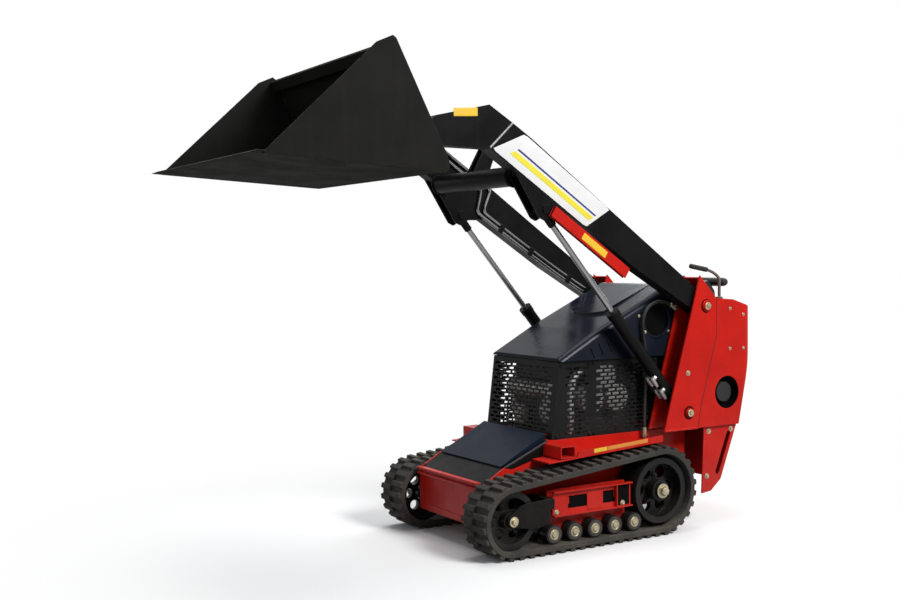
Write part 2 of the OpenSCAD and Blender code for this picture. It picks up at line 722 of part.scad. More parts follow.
// Prism under the slope from p down to q with rounded upper edges, its skin set in by t
module under_slope(p, q, t) {
    w = hood_half_w - t;
    r = hood_round - t;
    translate([p[0], 0, p[1]]) rotate([0, atan2(p[1] - q[1], q[0] - p[0]), 0]) rotate([90, 0, 90])
        translate([0, -t, -hood_reach]) linear_extrude(2 * hood_reach) {
            polygon(concat([[-w, -hood_reach], [w, -hood_reach]],
                [for (a = [0 : hood_turn : 90]) [w - r + r * cos(a), r * sin(a) - r]],
                [for (a = [90 : -hood_turn : 0]) [r - w - r * cos(a), r * sin(a) - r]]));
        }
}
module hood_skin(t) intersection() {
    under_slope(hood_back, hood_brow, t);
    under_slope(hood_brow, hood_front + [0, hood_lip], t);
    children();
}
module hood() color(black) {
    difference() {
        hood_skin(0) plate(-hood_half_w, 2 * hood_half_w) polygon([hood_front, [hood_front[0], hood_back[1]], hood_back, [hood_back[0], hood_low_z]]);
        hood_skin(hood_t) plate(-hood_half_w, 2 * hood_half_w)
            polygon([hood_front - [hood_t, 1], [hood_front[0] - hood_t, hood_back[1]], [hood_back[0] + hood_t, hood_back[1]],
                hood_back + [hood_t, -hood_rear_h], hood_back + [-1, -hood_rear_h], [hood_back[0] - 1, hood_low_z - 1]]);
        for (k = [1, -1]) on_side(k) {
            bar_y(air[0], air[1], hood_half_w - 2 * hood_t, hood_half_w + 1, air_r);
            plate(hood_half_w - 2 * hood_t, 3 * hood_t) for (v = louvre_top)
                polygon([[v[0], v[1]], [v[0] - v[2] / 2, v[1] - v[2]], [v[0] - v[2] / 2 - louvre_w, v[1] - v[2]], [v[0] - louvre_w, v[1]]]);
        }
    }
    // air openings: a flange outside and a short duct inside
    for (k = [1, -1]) on_side(k) difference() {
        union() {
            bar_y(air[0], air[1], hood_half_w - hood_t / 2, hood_half_w + hood_t / 2, air_r + air_flange);
            bar_y(air[0], air[1], hood_half_w - air_duct, hood_half_w - 1, air_r + hood_t);
        }
        bar_y(air[0], air[1], hood_half_w - air_duct - 1, hood_half_w + hood_t, air_r);
    }
    // raised scoop on the upper slope, its front edge an arc
    intersection() {
        plate(-scoop_half_w, 2 * scoop_half_w) polygon([for (e = [[scoop_front, -2], [scoop_front, scoop_h], [hood_back[0] + 10, 1], [hood_back[0] + 10, -2]])
            [e[0], hood_slope_z(e[0]) + e[1]]]);
        translate([scoop_front - scoop_r, 0, hood_low_z]) cylinder(h = hood_reach, r = scoop_r);
    }
    for (k = [1, -1]) on_side(k) difference() {
        plate(hinge_y - knuckle_w / 2, knuckle_w) {
            translate([hood_hinge_x, hood_hinge_z]) circle(hood_knuckle_r);
            polygon([[hood_hinge_x, hood_hinge_z - hood_knuckle_r], hood_back + [1, -40], hood_back + [1, -2],
                [hood_hinge_x, hood_hinge_z + hood_knuckle_r]]);
        }
        bar_y(hood_hinge_x, hood_hinge_z, 0, hood_half_w, hood_pin_r + play);
    }
}

// Lift arms: a tapered box beam and a cranked front end on each side
beam_top = [[0, 42], [hinge_u - 439, 65]];
beam_low = [[0, -arm_eye_r], [440, -76]];
beam_open = 70;
module beam_outline() {
    circle(arm_eye_r);
    polygon([beam_low[0], beam_low[1], [seam_u[1], seam_v[1]], [seam_u[0], seam_v[0]], beam_top[1], beam_top[0]]);
}
module beam_inside() polygon([[beam_open, beam_low[0][1] + arm_t], beam_low[1] + [0, arm_t], [seam_u[1] - 30, seam_v[1] + 1.2 * arm_t],
    [seam_u[0] - 25, seam_v[0] - arm_t], beam_top[1] - [0, arm_t], [beam_open, beam_top[0][1] - arm_t]]);
module rod_ear() polygon([for (p = [[232, 50], [10, -48], [-18, -44], [-43, 4], [-118, 54]]) [rod_eye_u, rod_eye_v] + p]);
ear_t = 10;
arm_in = arm_y - arm_w / 2;
module arm() color(black) arm_frame() difference() {
    union() {
        plate(arm_in, arm_w) beam_outline();
        for (y = [arm_in, arm_in + arm_w - ear_t]) plate(y, ear_t) rod_ear();
        for (y = [arm_in - pin_head, arm_in + arm_w - 1])
            bar_y(rod_eye_u, rod_eye_v, y, y + pin_head + 1, lift_pin_r + 6);
    }
    plate(arm_in + arm_t, arm_w - 2 * arm_t) beam_inside();
    bar_y(0, 0, 0, tower_half_w, pivot_pin_r + play);
}

neck_top = [hinge_u - 193, 55];
neck_front = [hinge_u - 17, -129];
neck_low = [hinge_u - 139, -188];
module neck_outline() {
    polygon([[seam_u[0], seam_v[0]], neck_top, neck_front, [hinge_u + 17, 15 - hinge_drop],
        [hinge_u + 4, -hinge_drop - 15], [hinge_u - 15, -hinge_drop - 17], neck_low, [seam_u[1], seam_v[1]]]);
}
module neck_inside() polygon([[seam_u[0] + 25, seam_v[0] - 14], neck_top - [8, 11], neck_front + [-32, 7], neck_low + [0, 18],
    [seam_u[1] + 15, seam_v[1] + 8]]);
module gooseneck() color(black) arm_frame() difference() {
    union() {
        plate(arm_in, arm_w) neck_outline();
        bar_y(hinge_u, -hinge_drop, arm_in, arm_in + arm_w, hinge_eye_r);
    }
    plate(arm_in + arm_t, arm_w - 2 * arm_t) neck_inside();
    bar_y(hinge_u, -hinge_drop, 0, tower_half_w, hinge_pin_r);
}

// Tube between the arms, with the ears that carry the tilt cylinder
module crossmember() color(black) arm_frame() {
    difference() {
        bar_y(cross_u, cross_v, -arm_in, arm_in, cross_r);
        bar_y(cross_u, cross_v, 6 - arm_in, arm_in - 6, cross_r - 6);
    }
    for (s = [1, -1]) on_side(s) {
        difference() {
            plate(tilt_ear_y, tilt_ear_t) {
                translate([tilt_base_u, tilt_base_v]) circle(26);
                polygon([[cross_u - 38, cross_v], [tilt_base_u - 26, tilt_base_v], [tilt_base_u + 26, tilt_base_v],
                    [cross_u + 38, cross_v]]);
            }
            bar_y(cross_u, cross_v, 0, 100, cross_r - 1);
        }
    }
    bar_y(tilt_base_u, tilt_base_v, -tilt_ear_y - tilt_ear_t - 5, tilt_ear_y + tilt_ear_t + 5, tilt_pin_r);
}

// Channel that props the raised arms, stowed outside the left rod's ear
lock_u = [470, rod_eye_u - lift_pin_r - 10];
lock_v = rod_eye_v + 6;
lock_w = 20;
lock_depth = 48;
lock_t = 4;
module cylinder_lock() color(red) arm_frame() difference() {
    translate([lock_u[0], arm_in + arm_w, lock_v - lock_depth / 2]) cube([lock_u[1] - lock_u[0], lock_w, lock_depth]);
    translate([lock_u[0] - 1, arm_in + arm_w + lock_t, lock_v - lock_depth / 2 - 1])
        cube([lock_u[1] - lock_u[0] + 2, lock_w - 2 * lock_t, lock_depth - lock_t + 1]);
}

// Hydraulic tubes along the inside of the right arm
tube_r = 8;
module arm_tubes() color(chrome) arm_frame() for (k = [0, 1])
    translate([0, -arm_in + tube_r, -52 + 28 * k]) rotate([0, 90, 0]) translate([0, 0, 180]) cylinder(h = 860, r = tube_r);

hitch_ear_t = 10;
hitch_ear_y = arm_in - 4 - hitch_ear_t;
module hinge_pins() color(zinc) arm_frame() for (s = [1, -1]) on_side(s) {
    bar_y(hinge_u, -hinge_drop, hitch_ear_y - 6, arm_in + arm_w, hinge_pin_r);
    bar_y(hinge_u, -hinge_drop, arm_in + arm_w, arm_in + arm_w + pin_head, hinge_pin_r + 6);
}

// Lift cylinders
gland_l = 30;
module lift_barrel() color(black) lift_frame() difference() {
    union() {
        rotate([0, 90, 0]) cylinder(h = lift_barrel_l, r = lift_barrel_r);
        translate([lift_barrel_l - gland_l, 0, 0]) rotate([0, 90, 0]) cylinder(h = gland_l, r = lift_barrel_r + 3);
        bar_y(0, 0, -lift_barrel_r - 6, lift_barrel_r + 6, 30);
    }
    bar_y(0, 0, -60, 60, lift_pin_r + play);
    translate([50, 0, 0]) rotate([0, 90, 0]) cylinder(h = lift_barrel_l - gland_l - 50, r = lift_barrel_r - 5);
    rotate([0, 90, 0]) translate([0, 0, 60]) cylinder(h = lift_barrel_l, r = lift_rod_r + play);
}
module lift_rod() color(chrome) lift_frame() difference() {
    piston = lift_barrel_l - gland_l - 40;
    union() {
        translate([piston, 0, 0]) rotate([0, 90, 0]) cylinder(h = 24, r = lift_barrel_r - 5 - seat);
        translate([piston, 0, 0]) rotate([0, 90, 0]) cylinder(h = lift_len - piston - lift_pin_r - 4, r = lift_rod_r);
        bar_y(lift_len, 0, -lift_eye_w / 2, lift_eye_w / 2, lift_eye_r);
    }
    bar_y(lift_len, 0, -60, 60, lift_pin_r);
}

// Tilt cylinder
tilt_gland = 26;
tilt_piston = tilt_barrel_l - 148;
tilt_piston_l = 16;
tilt_neck = 46;
tilt_bore = 50;
module tilt_barrel() color(black) tilt_frame() difference() {
    union() {
        rotate([0, 90, 0]) cylinder(h = tilt_barrel_l, r = tilt_barrel_r);
        bar_y(0, 0, -tilt_eye_w / 2, tilt_eye_w / 2, 26);
        translate([tilt_barrel_l - tilt_gland, 0, 0]) rotate([0, 90, 0]) cylinder(h = tilt_gland, r = tilt_barrel_r + 3);
    }
    for (s = [1, -1]) on_side(s) translate([-tilt_neck, tilt_eye_w / 2, -60]) cube([2 * tilt_neck, 60, 120]);
    bar_y(0, 0, -60, 60, tilt_pin_r + play);
    translate([tilt_bore, 0, 0]) rotate([0, 90, 0]) cylinder(h = tilt_barrel_l - tilt_gland - tilt_bore, r = tilt_barrel_r - 5);
    rotate([0, 90, 0]) translate([0, 0, 60]) cylinder(h = tilt_barrel_l, r = tilt_rod_r + play);
}
module tilt_rod() color(chrome) tilt_frame() difference() {
    union() {
        translate([tilt_piston, 0, 0]) rotate([0, 90, 0]) cylinder(h = tilt_piston_l, r = tilt_barrel_r - 5 - seat);
        translate([tilt_piston, 0, 0]) rotate([0, 90, 0])
            cylinder(h = tilt_len - tilt_piston - tilt_pin_r - 4, r = tilt_rod_r);
        bar_y(tilt_len, 0, -tilt_eye_w / 2, tilt_eye_w / 2, 25);
    }
    bar_y(tilt_len, 0, -60, 60, tilt_pin_r);
}

// Bucket: side plates, bent back and floor, top rail
heel = [-26, -hinge_above];
heel_top = [-4, -67];
heel_cut = 14;
back_top = [219, bucket_top - 9];
back_dir = (back_top - heel_top) / norm(back_top - heel_top);
back_in = [back_dir[1], -back_dir[0]];
edge_l = 105;
rail_d = 32;
rail_h = 46;
side_tip = edge_reach - 48;
module side_outline() polygon([heel + [heel_cut, 0], heel + [0, heel_cut], heel + [1, 40], heel_top, back_top, [234, bucket_top], [298, bucket_top - 33],
    [327, bucket_top - 64], [side_tip, 6 - hinge_above], [side_tip, -hinge_above]]);
module bucket() color(charcoal) bucket_frame() {
    for (s = [1, -1]) on_side(s) plate(bucket_half_w - bucket_t, bucket_t) side_outline();
    w = bucket_half_w - bucket_t / 2;
    // floor, heel and back in one bent sheet
    plate(-w, 2 * w) polygon([heel + [0, heel_cut], heel + [heel_cut, 0], [edge_reach - edge_l, -hinge_above], [edge_reach - edge_l, bucket_t - hinge_above],
        heel + [heel_cut + bucket_t / 2, bucket_t], heel + [bucket_t, heel_cut + bucket_t / 2], heel_top + bucket_t * back_in + [0, 2], back_top + bucket_t * back_in,
        back_top, heel_top, heel + [1, 40]]);
    // top rail
    plate(-w, 2 * w) polygon([for (p = [[2, 2], [rail_d, 2], [rail_d, rail_h], [2, rail_h]])
        back_top + p[0] * back_in - p[1] * back_dir]);
}

module cutting_edge() color(charcoal) bucket_frame() plate(bucket_t - bucket_half_w, 2 * (bucket_half_w - bucket_t))
    polygon([[edge_reach - edge_l, -hinge_above], [edge_reach, -hinge_above],
        [edge_reach - 30, edge_t - hinge_above], [edge_reach - edge_l, edge_t - hinge_above]]);

// Hitch plate that carries the bucket, with ears for the hinge and the tilt rod
hitch_t = 9;
hitch_half_w = hitch_ear_y + hitch_ear_t;
hitch_len = [8, 330];
window_w = 76;
hitch_eye = tilt_lever * [cos(tilt_lever_ang - bucket_angle), sin(tilt_lever_ang - bucket_angle)];
module hitch_outline(a, b, t) polygon([for (p = [[a, touch], [b, touch], [b, t], [a, t]])
    heel_top + p[0] * back_dir - p[1] * back_in]);
module hitch_plate() color(black) bucket_frame() {
    difference() {
        plate(-hitch_half_w, 2 * hitch_half_w) hitch_outline(hitch_len[0], hitch_len[1], hitch_t);
        plate(-window_w / 2, window_w) translate(hitch_t * back_in) hitch_outline(120, 300, 3 * hitch_t);
    }
    // hinge ears
    for (s = [1, -1]) on_side(s) difference() {
        plate(hitch_ear_y, hitch_ear_t) {
            circle(28);
            polygon([[-22, -18], heel_top + 28 * back_dir - 3 * back_in, heel_top + 166 * back_dir - 3 * back_in, [-6, 27]]);
        }
        bar_y(0, 0, 0, 400, hinge_pin_r + play);
    }
    // tilt ears, with the heads of the rod's pin
    for (s = [1, -1]) on_side(s) {
        plate(window_w / 2, hitch_ear_t) {
            translate(hitch_eye) circle(24);
            polygon([hitch_eye + [-20, 12], hitch_eye + [-8, -22], heel_top + 140 * back_dir - 3 * back_in,
                heel_top + 260 * back_dir - 3 * back_in]);
        }
        bar_y(hitch_eye[0], hitch_eye[1], window_w / 2 + 1, window_w / 2 + hitch_ear_t + pin_head, tilt_pin_r);
    }
}

place() chassis_frame();
place() front_plate();
place() step_cover();
place() cross_tube();
place() on_side(1) fender();  // fender_left
place() on_side(-1) fender();  // fender_right
place() on_side(1) tower();  // tower_left
place() on_side(-1) tower();  // tower_right
place() bulkhead();
place() rear_body();
place() fuel_tank();
place() rear_guard();
place() control_console();
place() control_lever();
place() thigh_pad();
place() engine_block();
place() front_screen();
place() on_side(1) side_screen();  // side_screen_left
place() on_side(-1) side_screen();  // side_screen_right
place() hood();
place() on_side(1) track();  // track_left
place() on_side(-1) track();  // track_right
place() on_side(1) drive_wheel();  // drive_wheel_left
place() on_side(-1) drive_wheel();  // drive_wheel_right
place() on_side(1) idler();  // idler_left
place() on_side(-1) idler();  // idler_right
place() on_side(1) idler_fork();  // idler_fork_left
place() on_side(-1) idler_fork();  // idler_fork_right
place() on_side(1) rollers();  // rollers_left
place() on_side(-1) rollers();  // rollers_right
place() on_side(1) track_guide();  // track_guide_left
place() on_side(-1) track_guide();  // track_guide_right
place() tower_pins();
place() on_side(1) arm();  // arm_left
place() on_side(-1) arm();  // arm_right
place() on_side(1) gooseneck();  // gooseneck_left
place() on_side(-1) gooseneck();  // gooseneck_right
place() crossmember();
place() cylinder_lock();
place() arm_tubes();
place() hinge_pins();
place() on_side(1) lift_barrel();  // lift_barrel_left
place() on_side(-1) lift_barrel();  // lift_barrel_right
place() on_side(1) lift_rod();  // lift_rod_left
place() on_side(-1) lift_rod();  // lift_rod_right
place() tilt_barrel();
place() tilt_rod();
place() hitch_plate();
place() bucket();
place() cutting_edge();
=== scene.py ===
import bpy
import bmesh
import json
import numpy as np
from math import cos, hypot, pi, radians, sin, sqrt
from mathutils import Matrix, Vector


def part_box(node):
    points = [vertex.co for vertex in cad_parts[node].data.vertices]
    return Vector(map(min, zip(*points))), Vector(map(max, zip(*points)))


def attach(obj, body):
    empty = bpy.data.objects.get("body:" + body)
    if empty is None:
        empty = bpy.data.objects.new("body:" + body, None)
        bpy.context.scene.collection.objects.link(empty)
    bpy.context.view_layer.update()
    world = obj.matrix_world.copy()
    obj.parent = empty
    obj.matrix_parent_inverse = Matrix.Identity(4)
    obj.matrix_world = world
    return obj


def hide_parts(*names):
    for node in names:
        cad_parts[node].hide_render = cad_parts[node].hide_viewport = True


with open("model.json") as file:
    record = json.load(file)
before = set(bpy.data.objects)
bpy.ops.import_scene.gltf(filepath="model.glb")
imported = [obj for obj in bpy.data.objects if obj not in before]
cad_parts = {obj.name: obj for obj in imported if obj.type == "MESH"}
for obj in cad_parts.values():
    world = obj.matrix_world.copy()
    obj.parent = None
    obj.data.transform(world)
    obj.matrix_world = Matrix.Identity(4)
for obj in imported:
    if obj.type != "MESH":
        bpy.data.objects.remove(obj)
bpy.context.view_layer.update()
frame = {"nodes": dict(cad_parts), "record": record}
scene = bpy.context.scene
nodes = frame["nodes"]
joints = {row["name"]: row for row in frame["record"]["behaviour"]["joints"]}
# the drive axle lies this far behind the middle
midX = -sum(corner.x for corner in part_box("drive_wheel_left")) / 2
print("frame loaded,", len(nodes), "CAD nodes")


# a place in the frame, with x counted from the drive axle
def atMachine(x, y, z):
    return (x - midX, y, z)


scene.view_settings.view_transform = "Standard"

cameraLook = {
    "place": (3.423007, 4.18808, 1.210687),  # x from the drive axle
    "heading": 238.2373,
    "dip": -1.9368,
    "roll": -0.40765,
    "lens": 45.913,
    "sensor": 36.0,
}


# camera: looks along heading and dip, with the two directions square to that turned by roll
def aimCamera(look):
    heading, dip, roll = (radians(look[k]) for k in ("heading", "dip", "roll"))
    ahead = Vector((cos(heading) * cos(dip), sin(heading) * cos(dip), sin(dip)))
    right = ahead.cross(Vector((0, 0, 1))).normalized()
    over = right.cross(ahead)
    c, s = cos(roll), sin(roll)
    right, over = c * right + s * over, c * over - s * right
    turn = Matrix((right, over, -ahead)).transposed().to_4x4()
    data = bpy.data.cameras.new("photoCamera")
    data.lens, data.sensor_width = look["lens"], look["sensor"]
    camera = bpy.data.objects.new("photoCamera", data)
    scene.collection.objects.link(camera)
    camera.matrix_world = Matrix.Translation(atMachine(*look["place"])) @ turn
    scene.camera = camera


aimCamera(cameraLook)
print("camera set")


# links a socket to another, or sets it where the value is plain
def feed(tree, socket, value):
    if isinstance(value, bpy.types.NodeSocket):
        tree.links.new(value, socket)
    else:
        socket.default_value = value


# a shader node: its settings first, then its inputs
def addNode(tree, kind, inputs=None, **settings):
    node = tree.nodes.new("ShaderNode" + kind)
    for name, value in settings.items():
        setattr(node, name, value)
    for name, value in (inputs or {}).items():
        feed(tree, node.inputs[name], value)
    return node


# one math node on two values
def work(tree, operation, first, second=0.0, clamp=False):
    inputs = {0: first, 1: second}
    return addNode(tree, "Math", inputs, operation=operation, use_clamp=clamp).outputs[0]


# a value between low and high goes over smoothly from toLow to toHigh
def spread(tree, value, low, high, toLow=0.0, toHigh=1.0):
    inputs = {"Value": value, "From Min": low, "From Max": high, "To Min": toLow, "To Max": toHigh}
    return addNode(tree, "MapRange", inputs, interpolation_type="SMOOTHSTEP").outputs["Result"]


# a mask that counts for a share: mask x share + (1 - share)
def partly(tree, mask, share):
    return work(tree, "ADD", work(tree, "MULTIPLY", mask, share), 1 - share)


# first where the factor is 0, second where it is 1
def mixColour(tree, factor, first, second):
    return addNode(tree, "Mix", {0: factor, 6: first, 7: second}, data_type="RGBA").outputs[2]


# an empty node group from input defaults and output kinds
def startGroup(name, takes, gives):
    group = bpy.data.node_groups.new(name, "ShaderNodeTree")
    for label, value in takes.items():
        socket = group.interface.new_socket(name=label, in_out="INPUT", socket_type="NodeSocketFloat")
        socket.default_value = value
    for label, kind in gives.items():
        group.interface.new_socket(name=label, in_out="OUTPUT", socket_type=kind)
    return group, group.nodes.new("NodeGroupInput").outputs, group.nodes.new("NodeGroupOutput").inputs


# a node group in a material, its first inputs set in order
def useGroup(tree, group, values):
    node = addNode(tree, "Group", node_tree=group)
    for socket, value in zip(node.inputs, values):
        socket.default_value = value
    return node


# cloudy noise over the piece's own place
def noise(tree, scale, detail, rough, vector=None):
    vector = vector or addNode(tree, "TexCoord").outputs["Object"]
    inputs = {"Vector": vector, "Scale": scale, "Detail": detail, "Roughness": rough}
    return addNode(tree, "TexNoise", inputs).outputs["Fac"]


rubLook = {"samples": 4, "cloud": (6.0, 0.65), "patch": (0.44, 0.66), "edge": (0.02, 0.2)}


# edges rubbed through: how far the rounded normal leaves the true one, broken up by noise
def makeEdgeRub(look):
    group, takes, gives = startGroup("edgeRub", {"Width": 0.004, "Amount": 0.5, "Breakup": 38.0},
                                     {"Mask": "NodeSocketFloat", "Normal": "NodeSocketVector"})
    bevel = addNode(group, "Bevel", {"Radius": takes["Width"]}, samples=look["samples"]).outputs[0]
    true = addNode(group, "NewGeometry").outputs["Normal"]
    along = addNode(group, "VectorMath", {0: bevel, 1: true}, operation="DOT_PRODUCT")
    away = work(group, "SUBTRACT", 1.0, along.outputs["Value"])
    patch = spread(group, noise(group, takes["Breakup"], *look["cloud"]), *look["patch"])
    mask = work(group, "MULTIPLY", spread(group, away, *look["edge"]), patch)
    group.links.new(work(group, "MULTIPLY", mask, takes["Amount"], clamp=True), gives["Mask"])
    group.links.new(bevel, gives["Normal"])
    return group


dustLook = {
    "cloud": {"noise": (7.0, 6.0, 0.6), "spread": (0.3, 0.72), "share": 0.75},
    "speck": {"noise": (90.0, 3.0, 0.6), "spread": (0.35, 0.7), "share": 0.45},
    "facing": 3.0,  # how strictly the settled dust keeps to faces that look up
}


# dust: thick near the ground and thinning up to Reach, and lying on faces that look up
def makeDust(look):
    group, takes, gives = startGroup("dust", {"Reach": 0.5, "Amount": 0.5, "Settled": 0.3},
                                     {"Mask": "NodeSocketFloat"})
    place = addNode(group, "TexCoord").outputs["Object"]
    height = addNode(group, "SeparateXYZ", {0: place}).outputs["Z"]
    low = work(group, "SUBTRACT", 1.0, work(group, "DIVIDE", height, takes["Reach"]), clamp=True)
    cloud, speck = (spread(group, noise(group, *look[part]["noise"], place), *look[part]["spread"])
                    for part in ("cloud", "speck"))
    normal = addNode(group, "NewGeometry").outputs["Normal"]
    facing = addNode(group, "SeparateXYZ", {0: normal}).outputs["Z"]
    up = work(group, "POWER", work(group, "MAXIMUM", facing, 0.0), look["facing"])
    ground = work(group, "MULTIPLY", low, takes["Amount"])
    ground = work(group, "MULTIPLY", ground, partly(group, cloud, look["cloud"]["share"]))
    top = work(group, "MULTIPLY", work(group, "MULTIPLY", up, takes["Settled"]), cloud)
    both = work(group, "ADD", ground, top)
    mask = work(group, "MULTIPLY", both, partly(group, speck, look["speck"]["share"]), clamp=True)
    group.links.new(mask, gives["Mask"])
    return group


unevenLook = {"patch": (5.0, 0.6), "patchSpread": (0.3, 0.7), "squeeze": (26.0, 26.0, 2.2),
              "streak": (1.0, 3.0, 0.5), "streakSpread": (0.5, 0.75)}


# uneven finish: broad patches, and streaks drawn out downwards by a squeezed Z
def makeUneven(look):
    group, takes, gives = startGroup("uneven", {"Scale": 6.0, "Streaks": 0.4}, {"Value": "NodeSocketFloat"})
    place = addNode(group, "TexCoord").outputs["Object"]
    drawn = addNode(group, "Mapping", {"Vector": place, "Scale": look["squeeze"]}).outputs[0]
    patch = spread(group, noise(group, takes["Scale"], *look["patch"], place), *look["patchSpread"])
    streak = spread(group, noise(group, *look["streak"], drawn), *look["streakSpread"])
    streak = work(group, "MULTIPLY", streak, takes["Streaks"])
    group.links.new(work(group, "ADD", patch, streak, clamp=True), gives["Value"])
    return group


grainLook = {"coarse": (2.0, 0.5), "fine": (2.0, 0.6), "finer": 3.7}


# fine relief: coarse dimples with finer grit on them
def makeGrain(look):
    group, takes, gives = startGroup("grain", {"Scale": 300.0, "Grit": 0.4}, {"Height": "NodeSocketFloat"})
    coarse = noise(group, takes["Scale"], *look["coarse"])
    fine = noise(group, work(group, "MULTIPLY", takes["Scale"], look["finer"]), *look["fine"])
    grit = work(group, "MULTIPLY", fine, takes["Grit"])
    group.links.new(work(group, "ADD", coarse, grit), gives["Height"])
    return group


edgeRub, dust = makeEdgeRub(rubLook), makeDust(dustLook)
uneven, grain = makeUneven(unevenLook), makeGrain(grainLook)

# what all finishes share unless their row ends with another value
finishBase = {"metal": 0.0, "coat": 0.0, "specular": 0.5, "coatRough": 0.12, "bump": 0.6,
              "dustColour": (0.235, 0.205, 0.165), "dustRough": 0.35}

